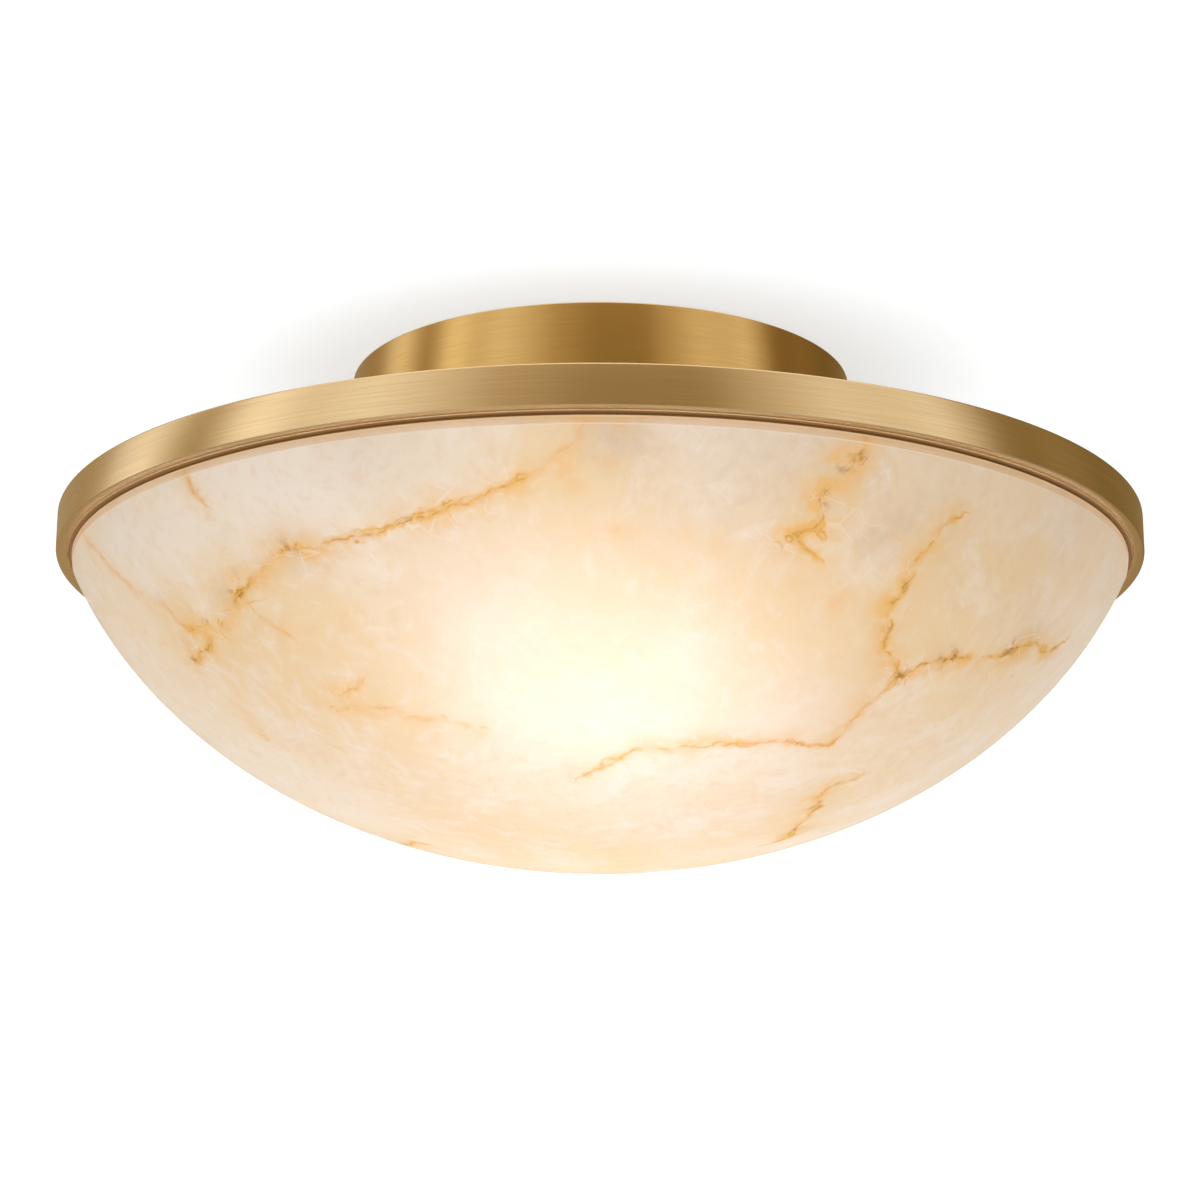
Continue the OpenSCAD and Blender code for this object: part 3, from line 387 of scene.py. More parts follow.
def moulded(name, colour, rough, scale=900.0, depth=0.02, glow=None):
    """Moulded plastic, rubber or paint: a fine eggshell texture, and a lit colour where it glows."""
    material, graph, output = new_material(name)
    at = places(graph)
    fine = grain(graph, at, scale, 3.0, 0.6)
    broad = grain(graph, at, scale / 18, 2.0)
    dark = tuple(0.94 * part for part in colour[:3]) + (1.0,)
    inputs = {
        "Base Color": mix(graph, ease(graph, broad, 0.35, 0.7), colour, dark),
        "Roughness": ease(graph, fine, 0.3, 0.7, rough - 0.05, rough + 0.05),
        "Normal": bump(graph, fine, depth * MM, 0.5),
    }
    if glow is not None:
        light, strength = glow
        inputs["Emission Color"] = light
        inputs["Emission Strength"] = strength
    shader = put(graph, "BsdfPrincipled", inputs)
    return finish_material(material, graph, output, shader.outputs[0])


def opal(name, colour, light, power):
    """The lamp's diffuser: its face glows at full power, and its wall less and less toward the board."""
    material, graph, output = new_material(name)
    at = places(graph)
    fine = grain(graph, at, 900.0, 3.0, 0.6)
    face = LAMP_LOW.z + 1.5 * MM
    shader = put(graph, "BsdfPrincipled", {
        "Base Color": mix(graph, ease(graph, fine, 0.35, 0.7, 0.0, 0.2), colour, rgb(232, 228, 220)),
        "Roughness": ease(graph, fine, 0.3, 0.7, 0.35, 0.45),
        "Normal": bump(graph, fine, 0.02 * MM, 0.5),
        "Emission Color": light,
        "Emission Strength": ease(graph, height_of(graph, at), face, LAMP_HIGH.z, power, 0.12),
    })
    return finish_material(material, graph, output, shader.outputs[0])


def read(graph, name):
    """A number that the mesh carries at each point."""
    return put(graph, "Attribute", attribute_name=name).outputs["Fac"]


def line_of(graph, gap, width):
    """1 on the line where the gap is nothing, fading to 0 at the width."""
    return ease(graph, maths(graph, "ABSOLUTE", gap), 0.0, width, 1.0, 0.0)


def stone_clouds(graph, broad, cloud, fine, streaks, plain):
    """The stone's ground colour: clouds of paler and warmer stone, greyer stone together with painted shade
    high on the bowl near the ring, and pale streaks.
    """
    tone = maths(graph, "SUBTRACT", read(graph, "stone_warm"), read(graph, "stone_pale"))
    tone = maths(graph, "ADD", tone, swing(graph, broad, 1.8))
    colour = mix(graph, ease(graph, tone, -1.0, 1.2), PALE_STONE, WARM_STONE)
    paler = times(graph, ease(graph, cloud, 0.44, 0.68, 0.0, 0.5), plain)
    colour = mix(graph, paler, colour, MILKY_CLOUD)
    deeper = times(graph, ease(graph, fine, 0.48, 0.72, 0.0, 0.35), plain)
    colour = mix(graph, deeper, colour, TAN_CLOUD)
    colour = mix(graph, ease(graph, streaks, 0.5, 0.72, 0.0, 0.3), colour, PALE_STREAK)
    # Greyer stone, and painted shade high on the bowl near the ring
    grey = times(graph, read(graph, "stone_grey_and_shade"), ease(graph, fine, 0.35, 0.6, 0.75, 1.0), 0.7)
    return mix(graph, grey, colour, GREY_STONE_AND_SHADE)


def stone_veins(graph, at, colour, cloud, near, plain):
    """Amber stains, crystal flashes, and two strands that noise weaves about each stored route."""
    blots = grain(graph, at, 95.0, 4.0, 0.6)
    specks = grain(graph, at, 260.0, 3.0, 0.6)
    crystals = put(graph, "TexVoronoi", {"Vector": at, "Scale": 95.0, "Randomness": 1.0},
                   feature="DISTANCE_TO_EDGE").outputs["Distance"]
    route = read(graph, "vein_gap")

    # A vein stains one side of it more than the other
    stain = times(graph, near, ease(graph, route, -3.0 * MM, 3.0 * MM, 0.45, 1.0))
    stain = maths(graph, "ADD", stain, read(graph, "stone_amber"))
    stain = maths(graph, "MULTIPLY", stain, ease(graph, blots, 0.36, 0.6, 0.25, 1.0), clamp=True)
    colour = mix(graph, times(graph, stain, 0.9), colour, AMBER_STAIN)
    where = maths(graph, "ADD", cloud, times(graph, near, 0.08))
    flashes = times(graph, ease(graph, crystals, 0.0, 0.03, 1.0, 0.0),
                    ease(graph, where, 0.52, 0.62, 0.0, 0.45), plain)
    colour = mix(graph, flashes, colour, CRYSTAL_FLASH)

    dark = read(graph, "stone_dark")
    deep = mix(graph, dark, VEIN_AMBER, VEIN_DARK)
    for weave, spread, width in VEIN_STRANDS:
        wander = swing(graph, grain(graph, at, weave, 2.0), spread)
        shake = swing(graph, grain(graph, at, 4.3 * weave, 2.0), VEIN_SHAKE)
        gap = maths(graph, "ADD", maths(graph, "ADD", route, wander), shake)
        breaks = ease(graph, grain(graph, at, 0.8 * weave, 2.0), 0.42, 0.6, 0.05, 1.0)
        strong = maths(graph, "MAXIMUM", dark, breaks)
        halo = times(graph, line_of(graph, gap, 4 * width), ease(graph, near, 0.1, 0.7), strong, 0.75)
        colour = mix(graph, halo, colour, VEIN_HALO)
        core = times(graph, line_of(graph, gap, width), ease(graph, near, 0.2, 0.8), strong,
                     ease(graph, specks, 0.4, 0.56, 0.1, 0.9))
        colour = mix(graph, core, colour, deep)
    knot = times(graph, dark, ease(graph, specks, 0.46, 0.6, 0.0, 0.8))
    return mix(graph, knot, colour, VEIN_KNOT)


def paint_edge_light(graph, at, colour, edge_low):
    """Painted light on the turned edge under the ring: a painted reflection of the brass above its lower
    line, a painted highlight along its upper arris and a painted gloss highlight along its lower line.
    """
    height = height_of(graph, at)
    edge_top = edge_low + EDGE_DEPTH
    band = ease(graph, height, edge_low - 0.2 * MM, edge_low + 0.2 * MM)
    # A painted reflection of the brass ring, from the edge's lower line upward
    colour = mix(graph, times(graph, band, 0.5), colour, EDGE_PAINTED_BRASS_REFLECTION)
    # A painted highlight along the edge's upper arris
    arris = ease(graph, height, edge_top - 0.9 * MM, edge_top - 0.6 * MM)
    colour = mix(graph, times(graph, arris, 0.8), colour, EDGE_PAINTED_ARRIS_HIGHLIGHT)
    # A painted gloss highlight along the edge's lower line
    gloss = line_of(graph, maths(graph, "SUBTRACT", height, edge_low), 0.4 * MM)
    return mix(graph, times(graph, gloss, 0.6), colour, EDGE_PAINTED_GLOSS_HIGHLIGHT)


def lit_through(graph, stone, colour, share):
    """Stone that scatters a share of the light through it, and shows only its outward faces."""
    soft = put(graph, "BsdfTranslucent", {"Color": colour})
    body = blend(graph, share, stone.outputs[0], soft.outputs[0])
    inside = put(graph, "NewGeometry").outputs["Backfacing"]
    return blend(graph, inside, body, put(graph, "BsdfTransparent").outputs[0])


def alabaster(edge_low):
    """Polished alabaster: cloudy cream stone with amber veins, which lets a blurred glow through."""
    material, graph, output = new_material("alabaster")
    at = places(graph)
    drift = put(graph, "TexNoise", {"Vector": at, "Scale": 16.0, "Detail": 4.0}).outputs["Color"]
    drift = vector_maths(graph, "SUBTRACT", drift, (0.5, 0.5, 0.5))
    drift = put(graph, "VectorMath", {0: drift, "Scale": 0.05}, operation="SCALE").outputs[0]
    warped = vector_maths(graph, "ADD", at, drift)
    broad = grain(graph, warped, 13.0, 5.0, 0.55)
    cloud = grain(graph, warped, 38.0, 6.0, 0.62)
    fine = grain(graph, warped, 160.0, 5.0, 0.65)
    slant = put(graph, "Mapping", {"Vector": warped, "Rotation": (0.3, 0.6, 0.0), "Scale": (150, 150, 34)})
    streaks = grain(graph, slant.outputs[0], 1.0, 4.0, 0.6)
    clear = read(graph, "stone_clear")
    near = read(graph, "vein_near")
    plain = ease(graph, clear, 0.0, 1.0, 1.0, 0.4)

    colour = stone_clouds(graph, broad, cloud, fine, streaks, plain)
    colour = stone_veins(graph, at, colour, cloud, near, plain)
    # Painted reflection and highlights on the turned edge under the ring
    colour = paint_edge_light(graph, at, colour, edge_low)
    through = maths(graph, "ADD", ease(graph, cloud, 0.3, 0.7, 0.46, 0.56), times(graph, clear, 0.2))
    stone = put(graph, "BsdfPrincipled", {
        "Base Color": colour,
        "Roughness": 1.0,
        "IOR": STONE_IOR,
        "Transmission Weight": through,
        "Coat Weight": 0.4,
        "Coat Roughness": 0.1,
        "Specular Tint": colour,
        # A faint painted glow, though the stone is no lamp
        "Emission Color": PAINTED_STONE_GLOW,
        "Emission Strength": 0.05,
    })
    return finish_material(material, graph, output, lit_through(graph, stone, colour, STONE_SOFT))


def stone_lining():
    """The bowl's turned inner face: the same stone, seen only when the shade is down."""
    material, graph, output = new_material("alabaster_inside")
    cloud = grain(graph, places(graph), 18.0, 6.0, 0.6)
    colour = mix(graph, ease(graph, cloud, 0.3, 0.75), LINING_PALE, LINING_WARM)
    stone = put(graph, "BsdfPrincipled", {"Base Color": colour, "Roughness": 0.7, "IOR": STONE_IOR})
    return finish_material(material, graph, output, lit_through(graph, stone, colour, LINING_SOFT))


def deselect():
    bpy.ops.object.select_all(action="DESELECT")


def make_active(piece):
    deselect()
    piece.select_set(True)
    bpy.context.view_layer.objects.active = piece


def step_out(radius, height, to_radius, to_height):
    """Extrudes the selected level ring of edges to its next radius and height."""
    bpy.ops.mesh.extrude_region_move(TRANSFORM_OT_translate={"value": (0, 0, to_height - height)})
    if to_radius != radius:
        share = to_radius / radius
        bpy.ops.transform.resize(value=(share, share, 1), center_override=(0, 0, to_height))


def turned(name, outline, steps=TURN_STEPS):
    """A ring or drum turned about the axis from its outline of (radius, height) points."""
    deselect()
    radius, height = outline[0]
    bpy.ops.mesh.primitive_circle_add(vertices=steps, radius=radius, location=(0, 0, height))
    piece = bpy.context.object
    piece.name = name
    bpy.ops.object.transform_apply(location=True)
    bpy.ops.object.mode_set(mode="EDIT")
    bpy.ops.mesh.select_all(action="SELECT")
    for to_radius, to_height in outline[1:] + outline[:1]:
        step_out(radius, height, to_radius, to_height)
        radius, height = to_radius, to_height
    bpy.ops.mesh.select_all(action="SELECT")
    bpy.ops.mesh.remove_doubles(threshold=MERGE_GAP)
    bpy.ops.mesh.normals_make_consistent(inside=False)
    bpy.ops.object.mode_set(mode="OBJECT")
    return piece


def apply_modifier(piece, kind, **settings):
    make_active(piece)
    modifier = piece.modifiers.new(kind.lower(), kind)
    for name, value in settings.items():
        setattr(modifier, name, value)
    bpy.ops.object.modifier_apply(modifier=modifier.name)


def soften_edges(piece, width, segments):
    """Rounds the edges at which a piece turns by more than 30 degrees."""
    apply_modifier(piece, "BEVEL", width=width, segments=segments, limit_method="ANGLE",
                   angle_limit=math.radians(30), use_clamp_overlap=True)


def smooth(piece):
    """Shades a piece smooth where it turns by less than 35 degrees."""
    make_active(piece)
    bpy.ops.object.shade_smooth_by_angle(angle=math.radians(35))


def dress(piece, material):
    piece.data.materials.clear()
    piece.data.materials.append(material)


def finished(piece, body, node):
    """Hangs a piece on its body in a node's place."""
    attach(piece, body)
    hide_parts(node)


def camera_turn():
    """Which way the photograph's camera faces."""
    up = Matrix.Rotation(math.radians(90 + CAMERA_PITCH), 4, "X")
    return up @ Matrix.Rotation(math.radians(CAMERA_ROLL), 4, "Z")


def on_stone(x, y):
    """The place on the bowl's outer face that shows at a pixel of the photograph."""
    ray = camera_turn().to_3x3() @ Vector((x - PHOTO_SIDE / 2, PHOTO_SIDE / 2 - y, -PHOTO_FOCAL))
    ball = Matrix.Diagonal((1 / BOWL_A, 1 / BOWL_A, 1 / BOWL_B))
    start = ball @ (CAMERA_AT - Vector((0, 0, BOWL_MIDDLE_Z)))
    step = ball @ ray
    half = start.dot(step) / step.dot(step)
    share = half * half - (start.dot(start) - 1) / step.dot(step)
    return CAMERA_AT + (-half - math.sqrt(max(share, 0.0))) * ray


def photo_pixels(points):
    """Where points lie in the photograph."""
    turn = np.array(camera_turn().to_3x3())
    seen = (points - np.array(CAMERA_AT)) @ turn
    depth = -seen[:, 2] / PHOTO_FOCAL
    return np.stack((PHOTO_SIDE / 2 + seen[:, 0] / depth, PHOTO_SIDE / 2 - seen[:, 1] / depth), axis=1)


def patches(points, listed):
    """How deep each point lies in the listed soft patches, 0 to 1."""
    total = np.zeros(len(points))
    for x, y, radius, strength in listed:
        away = np.linalg.norm(points - np.array(on_stone(x, y)), axis=1) / (radius * MM)
        total += strength * np.exp(-away ** 2)
    return np.clip(total, 0, 1)


def route_gap(points, route):
    """Each point's gap to a route along the stone, with a sign for its side."""
    corners = np.array([on_stone(x, y) for x, y in route])
    best = np.full(len(points), FAR)
    out = points - np.array((0, 0, BOWL_MIDDLE_Z))
    for first, last in zip(corners[:-1], corners[1:]):
        along = last - first
        share = np.clip((points - first) @ along / (along @ along), 0, 1)
        off = points - (first + share[:, None] * along)
        size = np.linalg.norm(off, axis=1)
        side = np.sign(np.einsum("ij,ij->i", off, np.cross(along, out)))
        best = np.where(size < np.abs(best), size * side, best)
    return best


def inside_edge(pixels, edge):
    """Whether each pixel lies inside a closed edge, none of whose sides may lie dead level."""
    found = np.zeros(len(pixels), bool)
    for (ax, ay), (bx, by) in zip(edge, edge[1:] + edge[:1]):
        crosses = (ay > pixels[:, 1]) != (by > pixels[:, 1])
        found ^= crosses & (pixels[:, 0] < ax + (bx - ax) * (pixels[:, 1] - ay) / (by - ay))
    return found


def ball_radius(half_width, half_height, z):
    """The radius at a height of an oblate ball about the bowl's middle."""
    return half_width * math.sqrt(1 - ((z - BOWL_MIDDLE_Z) / half_height) ** 2)


def store(piece, name, values):
    """Gives the mesh a number at each of its points."""
    made = piece.data.attributes.new(name, "FLOAT", "POINT")
    made.data.foreach_set("value", np.asarray(values, np.float32))


def mark_stone(piece):
    """Stores the veins and patches on the bowl: the half in view, and the same half turned to the back."""
    points = np.empty(len(piece.data.vertices) * 3, np.float32)
    piece.data.vertices.foreach_get("co", points)
    points = points.reshape(-1, 3).astype(float)
    back = points[:, 1] > 0
    points[back, :2] *= -1
    gap = np.full(len(points), FAR)
    near = np.zeros(len(points))
    for strength, route in VEINS.values():
        found = route_gap(points, route)
        gap = np.where(np.abs(found) < np.abs(gap), found, gap)
        near = np.maximum(near, strength * np.exp(-(found / VEIN_REACH) ** 2))
    clear = route_gap(points, CLEAR_EDGE + CLEAR_EDGE[:1])
    clear = np.where(inside_edge(photo_pixels(points), CLEAR_EDGE), 1, -1) * np.abs(clear)
    store(piece, "vein_gap", gap)
    store(piece, "vein_near", near)
    store(piece, "stone_clear", np.clip(0.5 + clear / CLEAR_FADE, 0, 1))
    for name, listed in (("stone_amber", AMBER_PATCHES), ("stone_warm", WARM_PATCHES),
                         ("stone_pale", PALE_PATCHES), ("stone_grey_and_shade", GREY_AND_SHADE_PATCHES),
                         ("stone_dark", DARK_PATCHES)):
        store(piece, name, patches(points, listed))


def box_from(name, low, high):
    """A plain block between two corners."""
    deselect()
    low, high = Vector(low), Vector(high)
    bpy.ops.mesh.primitive_cube_add(size=1, location=(low + high) / 2)
    block = bpy.context.object
    block.name = name
    block.scale = high - low
    bpy.ops.object.transform_apply(location=True, scale=True)
    return block


def at_fixings(name, low, high, soften=0.0):
    """The same block at each of the shade's fixings, as one object."""
    blocks = []
    for angle in FIXING_ANGLES:
        block = box_from(name, low, high)
        if soften:
            soften_edges(block, soften, 2)
        make_active(block)
        bpy.ops.transform.rotate(
            value=math.radians(angle), orient_axis="Z", center_override=(0, 0, 0))
        bpy.ops.object.transform_apply(location=True, rotation=True)
        blocks.append(block)
    return join(blocks)


def join(parts):
    """Makes several objects one."""
    make_active(parts[0])
    for part in parts[1:]:
        part.select_set(True)
    bpy.ops.object.join()
    return parts[0]


def combine(piece, other, operation):
    """Joins another piece to this one, or cuts it out, and removes the other."""
    apply_modifier(piece, "BOOLEAN", operation=operation, object=other, solver="EXACT")
    deselect()
    other.select_set(True)
    bpy.ops.object.delete()


class CEILINGLIGHT_PG_sizes(bpy.types.PropertyGroup):
    """Sizes of the turned pieces"""

    ring_wall: bpy.props.FloatProperty(
        name="Ring wall", description="Thickness of the brass band round the bowl",
        default=0.0018, min=0.0005, max=0.004, unit="LENGTH", subtype="DISTANCE")
    lip_width: bpy.props.FloatProperty(
        name="Lip width", description="Width of the band's lip, from its outer face inward",
        default=0.0046, min=0.003, max=0.008, unit="LENGTH", subtype="DISTANCE")
    lip_height: bpy.props.FloatProperty(
        name="Lip thickness", description="Thickness of the band's lip",
        default=0.0025, min=0.001, max=0.004, unit="LENGTH", subtype="DISTANCE")
    ring_edge: bpy.props.FloatProperty(
        name="Ring edge", description="Radius on the band's edges",
        default=0.0008, min=0.0001, max=0.001, unit="LENGTH", subtype="DISTANCE")
    boss_width: bpy.props.FloatProperty(
        name="Boss width", description="Width of the blocks inside the band that take the clip screws",
        default=0.012, min=0.009, max=0.014, unit="LENGTH", subtype="DISTANCE")
    boss_depth: bpy.props.FloatProperty(
        name="Boss depth", description="How far a block reaches in from the band's outer face",
        default=0.00756, min=0.005, max=0.009, unit="LENGTH", subtype="DISTANCE")
    canopy_wall: bpy.props.FloatProperty(
        name="Canopy wall", description="Thickness of the canopy's sheet",
        default=0.0012, min=0.0005, max=0.003, unit="LENGTH", subtype="DISTANCE")
    hem_width: bpy.props.FloatProperty(
        name="Hem width", description="Width of the canopy's edge turned in at the ceiling",
        default=0.004, min=0.002, max=0.01, unit="LENGTH", subtype="DISTANCE")
    canopy_edge: bpy.props.FloatProperty(
        name="Canopy edge", description="Radius on the canopy's edges",
        default=0.0005, min=0.0001, max=0.0006, unit="LENGTH", subtype="DISTANCE")
    stone_wall: bpy.props.FloatProperty(
        name="Stone wall", description="Thickness of the bowl",
        default=0.01, min=0.006, max=0.016, unit="LENGTH", subtype="DISTANCE")
    groove_width: bpy.props.FloatProperty(
        name="Groove width", description="Depth of the groove in the stone under the ring",
        default=0.0035, min=0.001, max=0.005, unit="LENGTH", subtype="DISTANCE")
    groove_height: bpy.props.FloatProperty(
        name="Groove height", description="Height of the groove in the stone under the ring",
        default=0.0012, min=0.0005, max=0.002, unit="LENGTH", subtype="DISTANCE")
    fit: bpy.props.FloatProperty(
        name="Fit", description="Clearance between stone and ring",
        default=0.0005, min=0.0002, max=0.001, unit="LENGTH", subtype="DISTANCE")


class CEILINGLIGHT_PG_finish(bpy.types.PropertyGroup):
    """Colours of the parts in view"""

    ring_brass: bpy.props.FloatVectorProperty(
        name="Ring brass", description="Colour of the band round the bowl",
        default=rgb(236, 205, 156), size=4, min=0.0, max=1.0, subtype="COLOR")
    canopy_brass: bpy.props.FloatVectorProperty(
        name="Canopy brass", description="Colour of the drum at the ceiling",
        default=rgb(218, 177, 108), size=4, min=0.0, max=1.0, subtype="COLOR")
    lamp_tint: bpy.props.FloatVectorProperty(
        name="Lamp tint", description="Colour of the lamp's light",
        default=rgb(255, 243, 238), size=4, min=0.0, max=1.0, subtype="COLOR")
    lamp_power: bpy.props.FloatProperty(
        name="Lamp power", description="Brightness of the lamp's diffuser",
        default=7.7, min=0.0, max=60.0)


class CEILINGLIGHT_OT_ring(bpy.types.Operator):
    """Turn the brass ring and its lip, and add its bosses"""

    bl_idname = "ceilinglight.ring"
    bl_label = "Rim ring"

    def execute(self, context):
        sizes = context.scene.ceilinglight_sizes
        lip_r = RING_R - sizes.lip_width
        inner_r = RING_R - sizes.ring_wall
        lip_top = RING_BOTTOM + sizes.lip_height
        ring = turned("ring_band", [
            (RING_R, RING_BOTTOM), (RING_R, RING_TOP), (inner_r, RING_TOP),
            (inner_r, lip_top), (lip_r, lip_top), (lip_r, RING_BOTTOM),
        ])
        soften_edges(ring, sizes.ring_edge, 4)
        boss_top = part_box("retaining_clips")[0].z
        half = sizes.boss_width / 2
        bosses = at_fixings("bosses", (RING_R - sizes.boss_depth, -half, lip_top - sizes.lip_height / 2),
                            (RING_R - sizes.ring_wall / 2, half, boss_top), 0.3 * MM)
        combine(ring, bosses, "UNION")
        smooth(ring)
        dress(ring, brushed_metal("ring_brass", context.scene.ceilinglight_finish.ring_brass, 0.25))
        finished(ring, "shade", "rim_ring")
        return {"FINISHED"}


class CEILINGLIGHT_OT_canopy(bpy.types.Operator):
    """Roll the brass drum that stands against the ceiling"""

    bl_idname = "ceilinglight.canopy"
    bl_label = "Canopy"

    def execute(self, context):
        sizes = context.scene.ceilinglight_sizes
        wall_in = CANOPY_R - sizes.canopy_wall
        hem_in = CANOPY_R - sizes.hem_width
        low, high = CANOPY_LOW.z, CANOPY_HIGH.z
        drum = turned("canopy_drum", [
            (CANOPY_R, low), (CANOPY_R, high), (hem_in, high), (hem_in, high - sizes.canopy_wall),
            (wall_in, high - sizes.canopy_wall), (wall_in, low),
        ])
        soften_edges(drum, sizes.canopy_edge, 3)
        smooth(drum)
        dress(drum, brushed_metal("canopy_brass", context.scene.ceilinglight_finish.canopy_brass, 0.24))
        finished(drum, "ceiling_frame", "canopy")
        return {"FINISHED"}


class CEILINGLIGHT_OT_bowl(bpy.types.Operator):
    """Turn the alabaster bowl, notch its rim and lay in its veins"""

    bl_idname = "ceilinglight.bowl"
    bl_label = "Alabaster bowl"

    def execute(self, context):
        sizes = context.scene.ceilinglight_sizes
        mouth_r = RING_R - sizes.lip_width - sizes.fit
        flange_r = RING_R - sizes.ring_wall - sizes.fit
        groove_r = mouth_r - sizes.groove_width
        flange_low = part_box("bowl_gasket")[1].z
        groove_low = RING_BOTTOM - sizes.groove_height
        inner = (BOWL_A - sizes.stone_wall, BOWL_B - sizes.stone_wall)
        rim, seam = BOWL_HIGH.z, groove_low - RIM_DEPTH
        edge_low = groove_low - EDGE_DEPTH
        edge_r = ball_radius(BOWL_A, BOWL_B, edge_low)
        edge_top_r = ball_radius(BOWL_A, BOWL_B, groove_low) - EDGE_LEAN
        shoulder = [(ball_radius(BOWL_A, BOWL_B, z), z) for z in (seam, edge_low - EDGE_CREASE, edge_low)]
        for share in EDGE_ROWS:
            shoulder.append((edge_r + (edge_top_r - edge_r) * share, edge_low + EDGE_DEPTH * share))
        lining_zs = [rim + (seam - rim) * i / LINING_ROWS for i in range(LINING_ROWS + 1)]
        bowl = turned("stone_bowl", shoulder + [
            (groove_r, groove_low), (groove_r, RING_BOTTOM), (mouth_r, RING_BOTTOM),
            (mouth_r, flange_low), (flange_r, flange_low), (flange_r, rim),
        ] + [(ball_radius(*inner, z), z) for z in lining_zs], BOWL_STEPS)
        half = sizes.boss_width / 2 + NOTCH_GAP
        notch_r = RING_R - sizes.boss_depth - NOTCH_GAP
        notch_low = RING_BOTTOM + sizes.lip_height - NOTCH_GAP
        notches = at_fixings("notches", (notch_r, -half, notch_low), (RING_R, half, RING_TOP))
        combine(bowl, notches, "DIFFERENCE")
        stone, lining = alabaster(edge_low), stone_lining()
        dress(bowl, stone)
        # The groove's faces get a dull darker brown: painted shade under the ring's lip
        bowl.data.materials.append(moulded("alabaster_groove_painted_shade", GROOVE_PAINTED_SHADE, 0.9, 400.0, 0.05))
        for face in bowl.data.polygons:
            heights = [bowl.data.vertices[i].co.z for i in face.vertices]
            if min(heights) > groove_low - LEVEL_GAP and max(heights) < RING_BOTTOM + LEVEL_GAP:
                face.material_index = 1
        self.open_bottom(bowl, seam)
        outer = self.half_ball("outer_face", BOWL_A, BOWL_B, seam, stone)
        within = self.half_ball("inner_face", *inner, seam, lining)
        join([bowl, outer, within])
        bpy.ops.object.mode_set(mode="EDIT")
        bpy.ops.mesh.select_all(action="SELECT")
        bpy.ops.mesh.remove_doubles(threshold=SEAM_GAP)
        bpy.ops.mesh.normals_make_consistent(inside=False)
        bpy.ops.object.mode_set(mode="OBJECT")
        smooth(bowl)
        mark_stone(bowl)
        finished(bowl, "shade", "alabaster_bowl")
        return {"FINISHED"}

    def open_bottom(self, piece, height):
        """Takes away the rim's bottom face, where the bowl's two faces are to be joined on."""
        make_active(piece)
        bpy.ops.object.mode_set(mode="EDIT")
        bpy.ops.mesh.select_mode(type="FACE")
        bpy.ops.mesh.select_all(action="DESELECT")
        bpy.ops.object.mode_set(mode="OBJECT")
        points = piece.data.vertices
        for face in piece.data.polygons:
            face.select = all(abs(points[i].co.z - height) < LEVEL_GAP for i in face.vertices)
        bpy.ops.object.mode_set(mode="EDIT")
        bpy.ops.mesh.delete(type="FACE")
        bpy.ops.object.mode_set(mode="OBJECT")

    def half_ball(self, name, half_width, half_height, top, material):
        """The part of an oblate ball's face below a height: half an oval spun round the axis."""
        deselect()
        bpy.ops.mesh.primitive_circle_add(
            vertices=2 * BOWL_BANDS, radius=1, rotation=(math.pi / 2, 0, 0))
        ball = bpy.context.object
        ball.name = name
        bpy.ops.transform.resize(value=(half_width, 1, half_height), center_override=(0, 0, 0))
        bpy.ops.transform.translate(value=(0, 0, BOWL_MIDDLE_Z))
        bpy.ops.object.transform_apply(location=True, rotation=True, scale=True)
        bpy.ops.object.mode_set(mode="EDIT")
        for place, way in (((0, 0, top), (0, 0, 1)), ((0, 0, 0), (-1, 0, 0))):
            bpy.ops.mesh.select_all(action="SELECT")
            bpy.ops.mesh.bisect(plane_co=place, plane_no=way, clear_outer=True, threshold=MERGE_GAP)
        bpy.ops.object.mode_set(mode="OBJECT")
        apply_modifier(ball, "SCREW", angle=2 * math.pi, axis="Z", steps=BOWL_STEPS,
                       render_steps=BOWL_STEPS, use_merge_vertices=True, merge_threshold=MERGE_GAP)
        dress(ball, material)
        return ball


class CEILINGLIGHT_OT_hardware(bpy.types.Operator):
    """Finish the fixings, the lamp and the wiring"""

    bl_idname = "ceilinglight.hardware"
    bl_label = "Fixings, lamp and wiring"

    def execute(self, context):
        lamp = context.scene.ceilinglight_finish
        finishes = {
            "zinc_steel": plain_metal("zinc_steel", rgb(196, 199, 204), 0.34),
            "satin_brass": plain_metal("satin_brass", rgb(228, 195, 140), 0.3),
            "bare_aluminium": plain_metal("bare_aluminium", rgb(214, 216, 219), 0.36, 90.0),
            "green_steel": plain_metal("green_steel", rgb(94, 150, 92), 0.4),
            "white_enamel": moulded("white_enamel", rgb(238, 236, 230), 0.38, 500.0, 0.03),
            "white_plastic": moulded("white_plastic", rgb(232, 231, 226), 0.45),
            "board_white": moulded("board_white", rgb(236, 238, 236), 0.35),
            "diode_yellow": moulded("diode_yellow", rgb(246, 214, 92), 0.3, glow=(lamp.lamp_tint, 4.0)),
            "opal_plastic": opal("opal_plastic", rgb(246, 243, 236), lamp.lamp_tint, lamp.lamp_power),
            "black_rubber": moulded("black_rubber", rgb(38, 37, 36), 0.6, 700.0, 0.04),
            "green_insulation": moulded("green_insulation", rgb(70, 140, 66), 0.4),
            "brown_insulation": moulded("brown_insulation", rgb(104, 66, 40), 0.4),
            "red_insulation": moulded("red_insulation", rgb(176, 42, 34), 0.4),
            "amber_brass": plain_metal("amber_brass", rgb(212, 171, 103), 0.3),
            "alabaster": plain_metal("stone_blank", rgb(236, 220, 200), 0.5),
        }
        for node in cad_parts.values():
            for place in node.material_slots:
                place.material = finishes[place.material.name.split(".")[0]]
        return {"FINISHED"}


